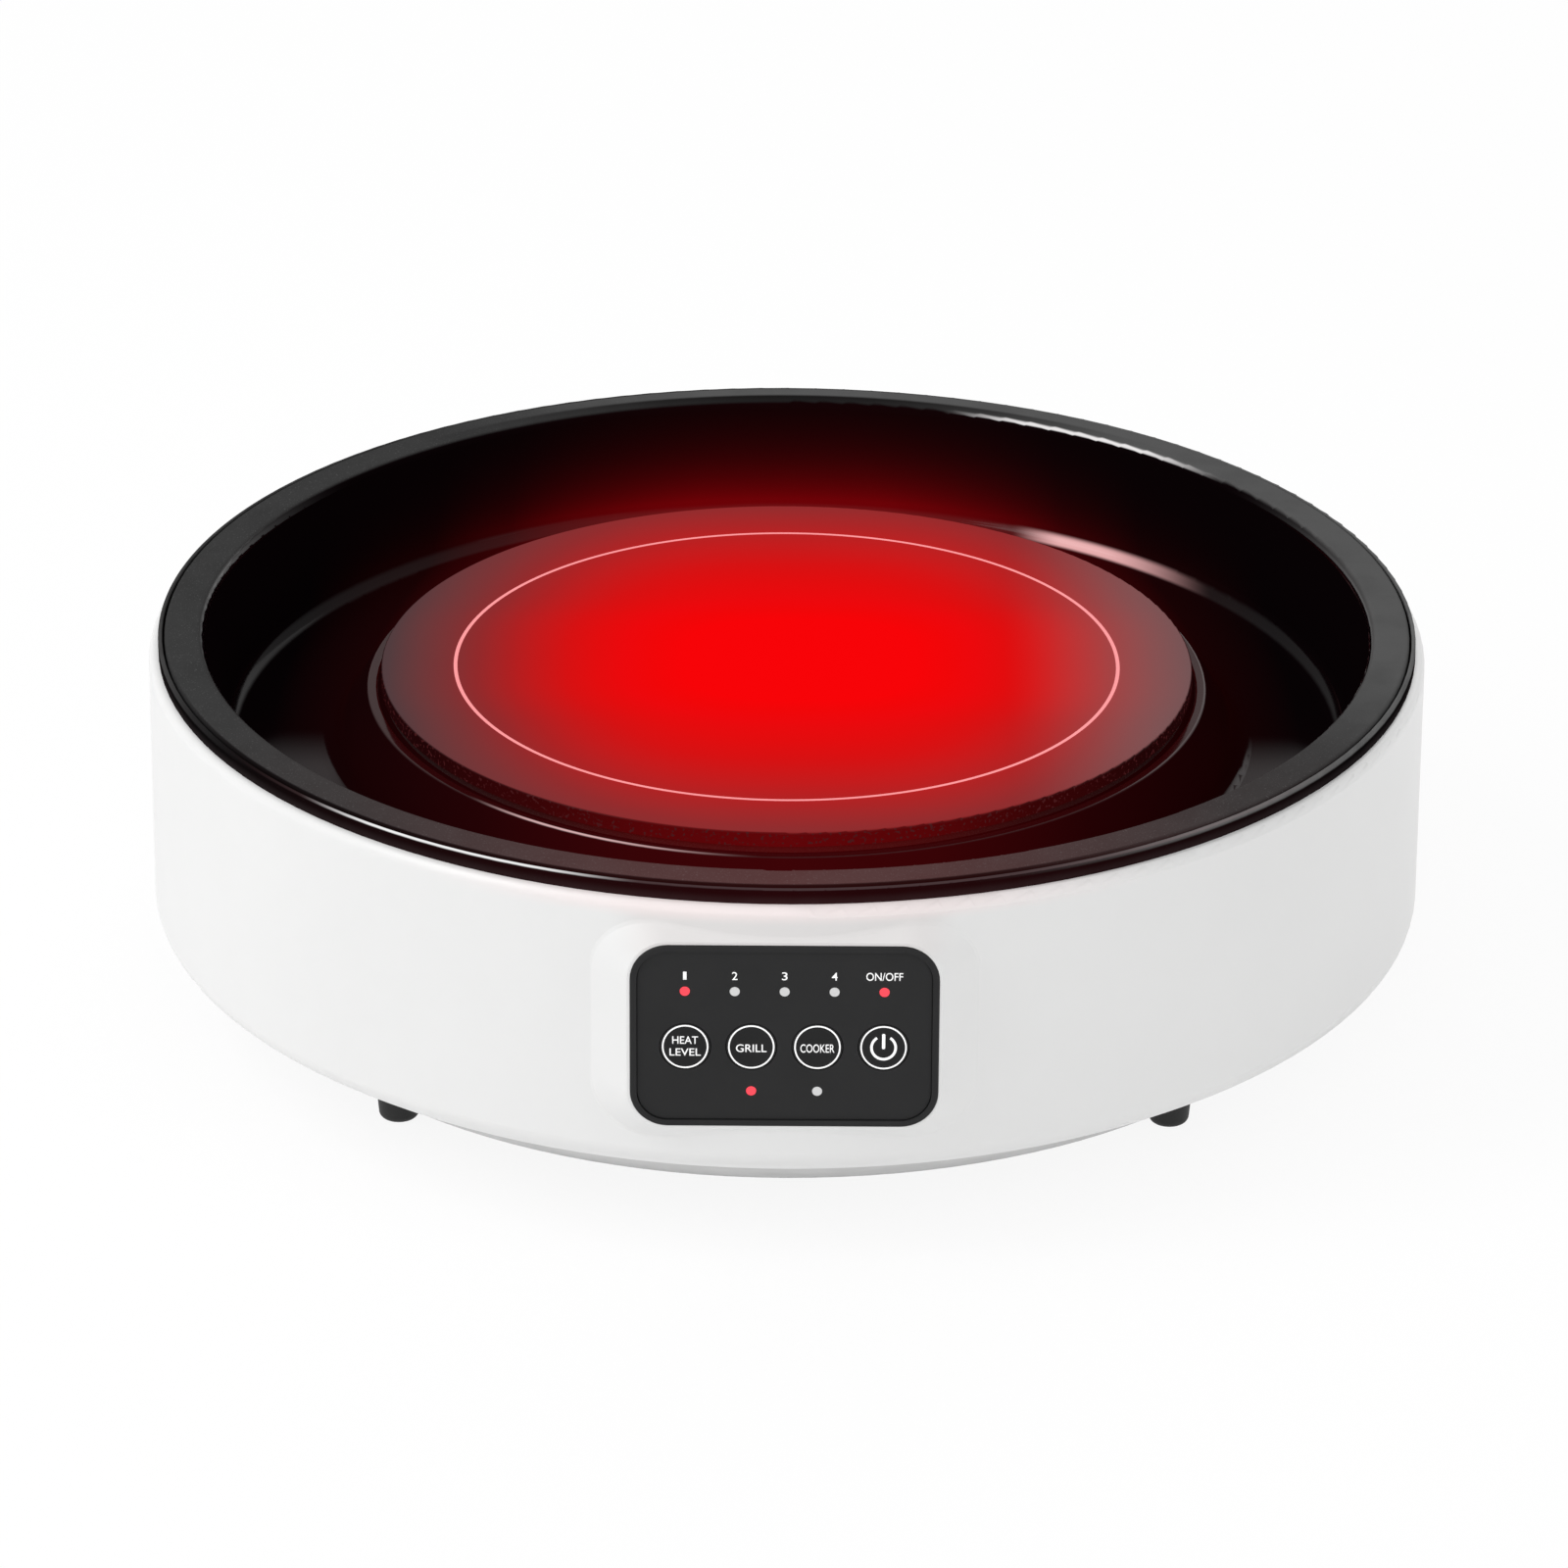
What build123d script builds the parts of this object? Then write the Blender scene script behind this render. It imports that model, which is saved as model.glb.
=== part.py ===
from build123d import *
from math import asin, cos, degrees, radians, sin, sqrt, tan
import os

# Round countertop cooker with a radiant heater under a raised ceramic plate.
# Millimetres. Z is up from the table, the control panel faces -Y, X runs to its right.

# Fits shared by every seat, hole and slot
slip = 0.05
ease = 0.2
part_gap = 0.4

# White shell and its base
body_r = 172.5
skirt_reach = 26.5
foot_h = 11.4
skirt_slope = 33.3
seam_z = 24.0
ledge_z = 101.4
shell_wall = 2.8
skirt_round = 5.5
shoulder_round = 2.7
base_wall = 2.5
base_round = 2.0
base_step = 0.6
rim_w = 4.5
tongue_w = 1.8
tongue_h = 6.0

# Rubber feet
foot_inset = 10.3
foot_angle = 41.0
foot_top_r = 6.2
foot_tip_r = 5.2
foot_round = 2.0
foot_plug_r = 2.5
foot_barb_r = 3.1
foot_barb_h = 2.2

# Trim ring under the basin flange
ring_t = 1.6
ledge_w = 2.6
ring_lip_t = 1.1
ring_groove = 0.6
ring_lip_h = 4.2
ring_round = 0.7

# Cooking basin, measured on its visible side
flange_w = 10.5
flange_h = 3.0
flange_round = 1.0
flange_edge_t = 1.2
mouth_round = 2.5
wall_set_in = 5.6
channel_depth = 33.0
channel_round = 6.0
turret_flare = 10.2
turret_round = 5.0
lip_gap = 1.0
lip_drop = 17.8
lip_w = 2.8
lip_round = 1.1
shelf_drop = 0.7
shelf_gap = 2.0
cast_wall = 2.0
stud_r = 3.0
stud_inset = 4.0
stud_count = 6

# Ceramic plate and its gasket
plate_r = 110.0
plate_t = 4.0
plate_edge = 0.6
gasket_t = 2.0
gasket_w = 8.0
gasket_inset = 0.8

# Radiant heater
pan_inset = 12.0
pan_h = 26.0
pan_wall = 0.8
pan_round = 3.0
pan_seat_gap = 1.5
pad_w = 16.0
pad_proud = 0.6
felt_floor = 10.7
felt_ring_w = 9.0
coil_margin = 8.2
coil_in_r = 14.0
coil_pitch = 8.0
coil_gap = 6.0
ribbon_t = 0.8
ribbon_h = 5.5
rod_r = 2.5
rod_drop = 7.5
rod_end_gap = 4.2
limiter_w = 26.0
limiter_d = 11.0
limiter_h = 19.0
block_w = 24.0
block_d = 10.0
block_h = 17.0
blade_w = 6.3
blade_t = 0.8
blade_l = 6.0
blade_pitch = 12.0
blade_drop = 4.0
lead_in_r = 1.2
lead_in_rise = 3.7

# Bar, spring and heat shield under the heater
bar_w = 24.0
bar_t = 1.5
bar_drop = 6.0
bar_foot_l = 24.0
bar_ramp_l = 12.0
boss_r = 4.5
boss_h = 7.0
spring_half = 45.0
spring_w = 16.0
spring_t = 0.8
shield_margin = 1.0
shield_t = 1.0
shield_rim_h = 3.0
shield_hole_r = 4.0
shield_holes = 12
rivet_x = 62.0
rivet_r = 2.0
rivet_head_r = 3.6
rivet_head_h = 1.2

# Screws
screw_r = 1.5
screw_head_r = 3.7
screw_head_h = 2.2
screw_l = 14.0

# Posts that join the shell to the base
post_inset = 8.0
post_angle = 22.0
post_r = 4.5
post_lift = 6.1
post_headroom = 5.0
rib_t = 2.5
rib_rise = 7.0
base_boss_r = 6.0
head_well_r = 4.2
head_well_h = 5.0

# Control panel: flat pad, bezel, recessed face
panel_proud = 0.6
panel_z = 65.85
panel_w = 78.5
panel_h = 51.0
panel_round = 9.7
pad_margin = 0.8
pad_depth = 8.2
pad_draft = 50.0
pad_blend = 2.0
pad_edge = 0.5
bezel_proud = 0.4
bezel_rim = 1.7
bezel_seat = 2.4
bezel_floor = 1.2
bezel_skirt_inset = 3.2
bezel_skirt_l = 4.0
bezel_skirt_t = 1.5
bezel_edge = 0.5
face_t = 1.0

# Keys, their switches and the lights
key_r = 6.45
key_pitch = 16.8
key_drop = 3.1
key_count = 4
key_names = ("heat_level", "grill", "cooker", "power")
key_proud = 0.1
key_gap = 0.15
key_flange_r = 7.4
key_flange_t = 0.8
key_stem_r = 2.2
key_round = 0.3
key_travel = 0.6
light_r = 1.27
light_pitch = 12.65
light_rise = 12.45
light_count = 5
low_light_drop = 15.65
light_flange_r = 1.9
light_flange_t = 0.8
switch_w = 6.0
switch_h = 3.5
plunger_r = 1.7
plunger_out = 1.0
plunger_in = 1.4
led_w = 3.0
led_t = 2.0

# Control board behind the panel
board_set_back = 13.1
board_t = 1.6
control_w = 92.0
control_h = 46.0
control_hole_x = 41.5
control_hole_y = 19.0
control_boss_r = 3.0
chip_w = 10.0
chip_t = 1.6
chip_drop = 11.85

# Cooling fan over the intake slots
fan_angle = 143.0
fan_clear = 16.0
fan_w = 80.0
fan_h = 25.0
fan_duct_r = 38.0
fan_skin = 1.5
fan_flange_t = 3.5
fan_hole_pitch = 71.5
fan_lift = 2.0
motor_r = 18.0
motor_t = 2.0
strut_w = 4.0
hub_r = 17.5
hub_wall = 1.5
hub_h = 18.0
tip_r = 37.2
blade_count = 7
blade_chord = 21.0
blade_thick = 1.6
root_pitch = 42.0
tip_pitch = 28.0
shaft_r = 1.5
bearing_r = 3.5
tube_r = 5.0
tube_h = 12.0
stator_r = 14.5
stator_h = 8.0
stator_slots = 4
slot_w = 3.2
slot_pitch = 7.5
slot_bar = 4.0
slots_each_side = 4
intake_r = 36.0

# Power board and what stands on it
power_clear_r = 24.0
power_y = 0.0
power_w = 108.0
power_d = 80.0
power_lift = 6.0
power_hole_inset = 5.0
standoff_r = 3.5

# Parts on the power board
small_edge = 1.0
pair_w = 22.0
mains_w = 30.0
term_d = 12.0
term_h = 11.0
term_inset = 1.5
lead_spread = 12.0
sink_w = 40.0
sink_back = 4.0
sink_d = 20.0
sink_h = 27.0
fin_t = 1.6
fin_count = 7
triac_w = 10.0
triac_t = 4.5
triac_h = 15.0
leg_l = 5.0
leg_t = 1.0
relay_w = 28.0
relay_d = 12.5
relay_h = 15.5
choke_r = 11.0
choke_hole_r = 5.0
choke_h = 10.0
choke_round = 2.0
cap_w = 26.0
cap_d = 9.0
cap_h = 16.0
fuse_r = 2.6
fuse_l = 20.0
clip_w = 5.0
core_w = 26.0
core_d = 11.0
core_h = 24.0
leg_w = 8.0
yoke_w = 4.5
winding_d = 21.0

# Outlet slots and cord gland in the rear wall
vent_z = 60.0
vent_h = 34.0
vent_w = 3.0
vent_step = 4.0
vent_first = 14.0
vents_each_side = 7
gland_z = 42.0
gland_bore_r = 3.75
gland_w = 16.0
gland_lip = 2.5
gland_seat = 0.8
gland_back_t = 2.4
gland_tail_r = 6.4
gland_tail = 3.0

# Wiring
lead_r = 1.3
lead_bend = 9.0
fan_lead_bend = 3.0
ribbon_cable_w = 12.0
ribbon_cable_t = 1.0
cable_bend = 6.0
cable_slack = 18.0
cable_drop = 15.85
header_w = 14.0
header_d = 7.0
header_h = 8.0

# Radii worked out from the body inwards, and from the plate outwards
base_r = body_r - skirt_reach
ring_r = body_r - ledge_w
flange_r = ring_r - ring_lip_t - ring_groove
mouth_r = flange_r - flange_w
channel_r = mouth_r - wall_set_in
lip_in_r = plate_r + lip_gap
lip_r = lip_in_r + lip_w
turret_r = lip_r + turret_flare
pan_r = plate_r - pan_inset
shelf_r = pan_r + shelf_gap
felt_r = pan_r - pan_wall
coil_out_r = felt_r - felt_ring_w - coil_margin
coil_turns = 2 * int((coil_out_r - coil_in_r) / (2 * coil_pitch)) + 1
rod_reach = felt_r - felt_ring_w - rod_end_gap
bar_foot_r = (turret_r + channel_r) / 2
shield_r = turret_r + shield_margin
stud_ring_r = flange_r - stud_inset
pad_face = body_r + panel_proud
board_face = pad_face - board_set_back

# Heights worked out from the table up, and from the flange down
skirt_rise = tan(radians(skirt_slope))
corner_z = foot_h + (body_r - base_r) * skirt_rise
seam_r = base_r + (seam_z - foot_h) / skirt_rise
floor_z = foot_h + base_wall
ledge_under_z = ledge_z - shell_wall
ring_top_z = ledge_z + ring_t
top_z = ring_top_z + flange_h
channel_z = top_z - channel_depth
channel_under_z = channel_z - cast_wall
lip_z = top_z - lip_drop
shelf_z = lip_z - shelf_drop
shelf_under_z = shelf_z - cast_wall
opening_r = mouth_r + cast_wall + part_gap
plate_z = shelf_z + gasket_t
pan_top_z = plate_z - pan_seat_gap
pan_z = pan_top_z - pan_h
felt_z = pan_z + pan_wall
coil_z = felt_z + felt_floor
boss_z = channel_under_z - boss_h
rod_z = plate_z - rod_drop
blade_z = channel_under_z - blade_drop
lead_in_z = coil_z + lead_in_rise
bar_z = boss_z - bar_t - bar_drop
shield_z = bar_z - shield_t
post_foot_z = floor_z + post_lift
post_top_z = shield_z - post_headroom
rib_foot_z = corner_z + rib_rise
chip_z = panel_z - chip_drop
face_front = pad_face - bezel_seat + bezel_floor + face_t
board_back = board_face - board_t
key_z = panel_z - key_drop
switch_front = board_face + switch_h
plunger_front = switch_front + plunger_out
bezel_back = pad_face - bezel_seat
fan_z = floor_z + fan_lift
fan_reach = base_r - fan_clear - fan_w * sqrt(2) / 2
fan_x = fan_reach * cos(radians(fan_angle))
fan_y = fan_reach * sin(radians(fan_angle))
power_x = base_r - power_clear_r - power_w / 2
power_z = floor_z + power_lift
deck_z = power_z + board_t
shell_in_r = body_r - shell_wall
gland_face = pad_face + bezel_proud
gland_in = body_r - gland_seat
gland_foot_z = gland_z - gland_w / 2
gland_flange_w = gland_w + 2 * gland_lip


def quarter_spots(radius, angle):
    """Four spots on a circle, mirrored left to right and front to back, front left first."""
    reach_x = radius * cos(radians(angle))
    reach_y = radius * sin(radians(angle))
    return [(x, y) for y in (-reach_y, reach_y) for x in (-reach_x, reach_x)]


panel_plane = Plane(origin=(0, -pad_face, panel_z), x_dir=(1, 0, 0), z_dir=(0, -1, 0))
key_xs = [(i - (key_count - 1) / 2) * key_pitch for i in range(key_count)]
top_lights = [((i - (light_count - 1) / 2) * light_pitch, light_rise) for i in range(light_count)]
low_lights = [(x, -low_light_drop) for x in (-key_pitch / 2, key_pitch / 2)]
lights = top_lights + low_lights
key_spots = [(x, -key_drop) for x in key_xs]
board_spots = [(x, y) for x in (-control_hole_x, control_hole_x) for y in (-control_hole_y, control_hole_y)]
post_spots = quarter_spots(base_r - post_inset, post_angle)
foot_spots = quarter_spots(base_r - foot_inset, foot_angle)
half_w = power_w / 2 - power_hole_inset
half_d = power_d / 2 - power_hole_inset
power_spots = [(power_x + i * half_w, power_y + j * half_d) for i in (-1, 1) for j in (-1, 1)]
fan_half = fan_hole_pitch / 2
fan_spots = [(fan_x + i * fan_half, fan_y + j * fan_half) for i in (-1, 1) for j in (-1, 1)]


def ring_section(*points, rounds):
    """Draws a closed section in the XZ plane, with one radius for each corner."""
    with BuildSketch(Plane.XZ) as section:
        with BuildLine():
            FilletPolyline(*points, radius=rounds, close=True)
        make_face()
    return section.sketch


def front_plane(depth):
    """Plane across the panel at a distance from the body's axis."""
    return Plane(origin=(0, -depth, panel_z), x_dir=(1, 0, 0), z_dir=(0, -1, 0))


def radial_plane(angle, z):
    """Upright plane through the body's axis, with its x along the given angle."""
    turn = radians(angle)
    return Plane(origin=(0, 0, z), x_dir=(cos(turn), sin(turn), 0), z_dir=(sin(turn), -cos(turn), 0))


def meets_wall(edge):
    """True for the edges where the panel pad runs into the round wall."""
    spots = [edge.position_at(t) for t in (0, 0.5, 1)]
    on_wall = all(abs(sqrt(spot.X**2 + spot.Y**2) - body_r) < slip for spot in spots)
    in_front = all(spot.Y < 0 and abs(spot.X) < panel_w and abs(spot.Z - panel_z) < panel_h for spot in spots)
    return on_wall and in_front and abs(edge.center().Z - panel_z) < panel_h / 2 + pad_depth / 2


def write(piece, label):
    """Labels a finished piece and writes it under the same name."""
    piece.part.label = label
    export_step(piece.part, f"parts/{label}.step")


os.makedirs("parts", exist_ok=True)

# Flat pad for the panel, sloped on every side until it runs into the round wall
pad_w_all = panel_w + 2 * pad_margin
pad_h_all = panel_h + 2 * pad_margin
with BuildPart() as panel_pad:
    with BuildSketch(panel_plane):
        RectangleRounded(pad_w_all, pad_h_all, panel_round + pad_margin)
    extrude(amount=-pad_depth, taper=-pad_draft)
    with BuildSketch(Plane.XY):
        Circle(body_r - shell_wall / 2)
    extrude(amount=top_z, mode=Mode.SUBTRACT)

# Outer shell: turned wall with ledge, shoulder and sloped skirt
with BuildPart() as outer_shell:
    inner_corner_z = corner_z + shell_wall * tan(radians((90 - skirt_slope) / 2))
    inner_seam_r = shell_in_r - (inner_corner_z - seam_z) / skirt_rise
    shell_points = (
        (opening_r, ledge_z),
        (body_r, ledge_z),
        (body_r, corner_z),
        (seam_r, seam_z),
        (inner_seam_r, seam_z),
        (shell_in_r, inner_corner_z),
        (shell_in_r, ledge_under_z),
        (opening_r, ledge_under_z),
    )
    shell_rounds = (0, shoulder_round, skirt_round, 0, 0, skirt_round / 2, shell_wall / 2, 0)
    add(ring_section(*shell_points, rounds=shell_rounds))
    revolve(axis=Axis.Z)

    # The pad joins the wall and is blended into it, then takes the panel's seat
    add(panel_pad.part)
    fillet(outer_shell.edges().filter_by(meets_wall), pad_blend)
    fillet(outer_shell.faces().filter_by(Axis.Y).sort_by(Axis.Y)[0].outer_wire().edges(), pad_edge)
    with BuildSketch(panel_plane):
        RectangleRounded(pad_w_all, pad_h_all, panel_round + pad_margin)
    extrude(amount=-pad_depth)
    with BuildSketch(panel_plane):
        RectangleRounded(panel_w + 2 * slip, panel_h + 2 * slip, panel_round + slip)
    extrude(amount=-bezel_seat, mode=Mode.SUBTRACT)
    window_w = panel_w - 2 * bezel_skirt_inset + 2 * ease
    window_h = panel_h - 2 * bezel_skirt_inset + 2 * ease
    with BuildSketch(panel_plane):
        RectangleRounded(window_w, window_h, panel_round - bezel_skirt_inset + ease)
    extrude(amount=-2 * pad_depth, mode=Mode.SUBTRACT)

    # Bosses for the control board
    with BuildSketch(front_plane(board_face)):
        with Locations(*board_spots):
            Circle(control_boss_r)
    extrude(amount=pad_face - pad_depth - board_face + shell_wall / 2)

    # Posts down to the base, each tied to the wall by a rib
    with BuildSketch(Plane.XY.offset(post_foot_z)):
        with Locations(*post_spots):
            Circle(post_r)
    extrude(amount=post_top_z - post_foot_z)
    for x, y in post_spots:
        reach = sqrt(x * x + y * y)
        angle = degrees(asin(y / reach))
        side = angle if x > 0 else 180 - angle
        with BuildSketch(radial_plane(side, 0)):
            with BuildLine():
                Polyline(
                    (reach, rib_foot_z),
                    (shell_in_r + shell_wall / 2, rib_foot_z),
                    (shell_in_r + shell_wall / 2, post_top_z + post_r),
                    (reach, post_top_z),
                    close=True,
                )
            make_face()
        extrude(amount=rib_t / 2, both=True)
    with BuildSketch(Plane.XY.offset(post_foot_z)):
        with Locations(*post_spots):
            Circle(screw_r + slip)
    extrude(amount=screw_l, mode=Mode.SUBTRACT)
    with BuildSketch(front_plane(board_face)):
        with Locations(*board_spots):
            Circle(screw_r + slip)
    extrude(amount=control_boss_r, mode=Mode.SUBTRACT)

    # Stud holes through the ledge
    with BuildSketch(Plane.XY.offset(ledge_z)):
        with PolarLocations(stud_ring_r, stud_count):
            Circle(stud_r + ease)
    extrude(amount=-shell_wall, mode=Mode.SUBTRACT)

    # Rear outlet slots, cut radially
    vent_turns = [90 + side * (vent_first + i * vent_step) for side in (-1, 1) for i in range(vents_each_side)]
    vent_planes = [
        Plane(
            origin=(body_r * cos(radians(turn)), body_r * sin(radians(turn)), vent_z),
            x_dir=(-sin(radians(turn)), cos(radians(turn)), 0),
            z_dir=(cos(radians(turn)), sin(radians(turn)), 0),
        )
        for turn in vent_turns
    ]
    with BuildSketch(*vent_planes):
        SlotOverall(vent_h, vent_w, rotation=90)
    extrude(amount=shell_wall, both=True, mode=Mode.SUBTRACT)

    # Flat seat for the cord gland, and a notch from the lower edge that it slides up
    with BuildSketch(Plane.XZ.offset(-gland_in)):
        with Locations((0, gland_z)):
            Rectangle(gland_flange_w + 2 * ease, gland_flange_w + 2 * ease)
    extrude(amount=-2 * gland_seat, mode=Mode.SUBTRACT)
    with BuildSketch(Plane.XZ.offset(-body_r)):
        with Locations((0, gland_z + gland_w / 2 + slip)):
            Rectangle(gland_w + 2 * slip, gland_z, align=(Align.CENTER, Align.MAX))
    extrude(amount=skirt_reach, mode=Mode.SUBTRACT)
write(outer_shell, "outer_shell")

# Tab of the base that fills the notch below the cord gland
rim_z = seam_z - part_gap
rim_r = base_r + (rim_z - foot_h) / skirt_rise - base_step
with BuildPart() as gland_tab:
    tab_points = (
        (inner_seam_r - part_gap / skirt_rise, rim_z),
        (rim_r + base_step, rim_z),
        (body_r, corner_z),
        (body_r, gland_foot_z - slip),
        (shell_in_r, gland_foot_z - slip),
        (shell_in_r, inner_corner_z),
    )
    add(ring_section(*tab_points, rounds=(0, 0, skirt_round, 0, 0, skirt_round / 2)))
    revolve(axis=Axis.Z)
    with BuildSketch(Plane.XY.offset(rim_z)):
        with Locations((0, body_r)):
            Rectangle(gland_w - 2 * part_gap, 2 * skirt_reach)
    extrude(amount=gland_z, mode=Mode.INTERSECT)
    with BuildSketch(Plane.XZ.offset(-gland_in)):
        with Locations((0, gland_z)):
            Rectangle(gland_flange_w + 2 * ease, gland_flange_w + 2 * ease)
    extrude(amount=-2 * gland_seat, mode=Mode.SUBTRACT)

# Base cover: dish that closes the skirt, with tongue, bosses and intake slots
with BuildPart() as base_cover:
    base_points = (
        (0, foot_h),
        (base_r, foot_h),
        (rim_r, rim_z),
        (rim_r - rim_w, rim_z),
        (base_r - base_wall / 2, floor_z),
        (0, floor_z),
    )
    add(ring_section(*base_points, rounds=(0, base_round, 0, 0, base_round, 0)))
    revolve(axis=Axis.Z)
    tongue_r = inner_seam_r - part_gap
    with BuildSketch(Plane.XY.offset(rim_z - base_wall)):
        Circle(tongue_r)
        Circle(tongue_r - tongue_w, mode=Mode.SUBTRACT)
    extrude(amount=tongue_h)
    add(gland_tab.part)
    with BuildSketch(Plane.XY.offset(foot_h + base_wall / 2)):
        with Locations(*post_spots):
            Circle(base_boss_r)
    extrude(amount=post_foot_z - foot_h - base_wall / 2)
    with BuildSketch(Plane.XY.offset(foot_h + base_wall / 2)):
        with Locations(*power_spots):
            Circle(standoff_r)
    extrude(amount=power_z - foot_h - base_wall / 2)
    with BuildSketch(Plane.XY.offset(foot_h + base_wall / 2)):
        with Locations(*fan_spots):
            Circle(standoff_r)
    extrude(amount=fan_z - foot_h - base_wall / 2)

    # Screw wells from below, then pilot holes from above
    with BuildSketch(Plane.XY.offset(foot_h)):
        with Locations(*post_spots):
            Circle(head_well_r)
    extrude(amount=head_well_h, mode=Mode.SUBTRACT)
    with BuildSketch(Plane.XY.offset(foot_h)):
        with Locations(*post_spots):
            Circle(screw_r + ease)
    extrude(amount=post_foot_z, mode=Mode.SUBTRACT)
    pilot_z = floor_z - base_wall / 2
    with BuildSketch(Plane.XY.offset(pilot_z)):
        with Locations(*power_spots):
            Circle(screw_r + slip)
        with Locations(*fan_spots):
            Circle(screw_r + slip)
    extrude(amount=power_z, mode=Mode.SUBTRACT)

    # Plug holes for the feet
    with BuildSketch(Plane.XY.offset(foot_h)):
        with Locations(*foot_spots):
            Circle(foot_plug_r + slip)
    extrude(amount=base_wall, mode=Mode.SUBTRACT)

    # Intake slots under the fan, with a bar left across the middle
    with BuildSketch(Plane.XY.offset(foot_h)):
        for column in range(-slots_each_side, slots_each_side + 1):
            offset_x = column * slot_pitch
            slot_l = sqrt(intake_r**2 - offset_x**2) - slot_bar / 2
            offset_y = slot_bar / 2 + slot_l / 2
            with Locations((fan_x + offset_x, fan_y - offset_y), (fan_x + offset_x, fan_y + offset_y)):
                SlotOverall(slot_l, slot_w, rotation=90)
    extrude(amount=base_wall, mode=Mode.SUBTRACT)
write(base_cover, "base_cover")

# Rubber feet, each with a barbed plug
foot_names = ("front_left_foot", "front_right_foot", "rear_left_foot", "rear_right_foot")
barb_z = floor_z + slip
for label, (x, y) in zip(foot_names, foot_spots):
    foot_points = (
        (0, 0),
        (foot_tip_r, 0),
        (foot_top_r, foot_h),
        (foot_plug_r, foot_h),
        (foot_plug_r, barb_z),
        (foot_barb_r, barb_z),
        (foot_plug_r, barb_z + foot_barb_h),
        (0, barb_z + foot_barb_h),
    )
    with BuildPart() as turned_foot:
        add(ring_section(*foot_points, rounds=(0, foot_round, 0, 0, 0, 0, 0, 0)))
        revolve(axis=Axis.Z)
    with BuildPart() as foot:
        with Locations((x, y)):
            add(turned_foot.part)
    write(foot, label)

# Trim ring: flat seat on the ledge and a thin upright lip round the flange
with BuildPart() as trim_ring:
    ring_points = (
        (opening_r, ledge_z),
        (ring_r, ledge_z),
        (ring_r, ledge_z + ring_lip_h),
        (ring_r - ring_lip_t, ledge_z + ring_lip_h),
        (ring_r - ring_lip_t, ring_top_z),
        (opening_r, ring_top_z),
    )
    add(ring_section(*ring_points, rounds=(0, 0, ring_round, ring_lip_t - ring_round, 0, 0)))
    revolve(axis=Axis.Z)
    with BuildSketch(Plane.XY.offset(ledge_z)):
        with PolarLocations(stud_ring_r, stud_count):
            Circle(stud_r + ease)
    extrude(amount=ring_t, mode=Mode.SUBTRACT)
write(trim_ring, "trim_ring")

# Cooking basin: flange, wall, channel and turret in one casting
with BuildPart() as cooking_basin:
    cone_lean = (turret_r - lip_r) / (lip_z - channel_z)
    basin_points = (
        (flange_r, ring_top_z),
        (flange_r, top_z),
        (mouth_r, top_z),
        (channel_r, channel_z),
        (turret_r, channel_z),
        (lip_r, lip_z),
        (lip_in_r, lip_z),
        (lip_in_r, shelf_z),
        (shelf_r, shelf_z),
        (shelf_r, shelf_under_z),
        (lip_in_r + cast_wall, shelf_under_z),
        (lip_in_r + cast_wall + (shelf_under_z - channel_under_z) * cone_lean, channel_under_z),
        (channel_r + cast_wall, channel_under_z),
        (mouth_r + cast_wall, top_z - cast_wall),
        (flange_r - flange_edge_t, top_z - cast_wall),
        (flange_r - flange_edge_t, ring_top_z),
    )
    basin_rounds = (
        0,
        flange_round,
        mouth_round,
        channel_round,
        turret_round,
        lip_round,
        lip_round / 2,
        0,
        0,
        0,
        cast_wall / 2,
        turret_round + cast_wall,
        channel_round + cast_wall,
        mouth_round / 2,
        0,
        0,
    )
    add(ring_section(*basin_points, rounds=basin_rounds))
    revolve(axis=Axis.Z)

    # Studs through the ring and ledge, and bosses for the heater bar
    with BuildSketch(Plane.XY.offset(ledge_under_z + ease)):
        with PolarLocations(stud_ring_r, stud_count):
            Circle(stud_r)
    extrude(amount=top_z - cast_wall / 2 - ledge_under_z - ease)
    with BuildSketch(Plane.XY.offset(boss_z)):
        with Locations((-bar_foot_r, 0), (bar_foot_r, 0)):
            Circle(boss_r)
    extrude(amount=boss_h + cast_wall / 2)
    with BuildSketch(Plane.XY.offset(ledge_under_z)):
        with PolarLocations(stud_ring_r, stud_count):
            Circle(screw_r + slip)
    extrude(amount=top_z - cast_wall - ledge_under_z, mode=Mode.SUBTRACT)
    with BuildSketch(Plane.XY.offset(boss_z)):
        with Locations((-bar_foot_r, 0), (bar_foot_r, 0)):
            Circle(screw_r + slip)
    extrude(amount=boss_h, mode=Mode.SUBTRACT)
write(cooking_basin, "cooking_basin")

# Ceramic plate with a ground edge
with BuildPart() as ceramic_plate:
    with BuildSketch(Plane.XY.offset(plate_z)):
        Circle(plate_r)
    extrude(amount=plate_t)
    fillet(ceramic_plate.edges().group_by(Axis.Z)[-1], plate_edge)
write(ceramic_plate, "ceramic_plate")

# Fibre gasket between plate and basin shelf
with BuildPart() as plate_gasket:
    with BuildSketch(Plane.XY.offset(shelf_z)):
        Circle(plate_r - gasket_inset)
        Circle(plate_r - gasket_inset - gasket_w, mode=Mode.SUBTRACT)
    extrude(amount=gasket_t)
write(plate_gasket, "plate_gasket")

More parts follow.
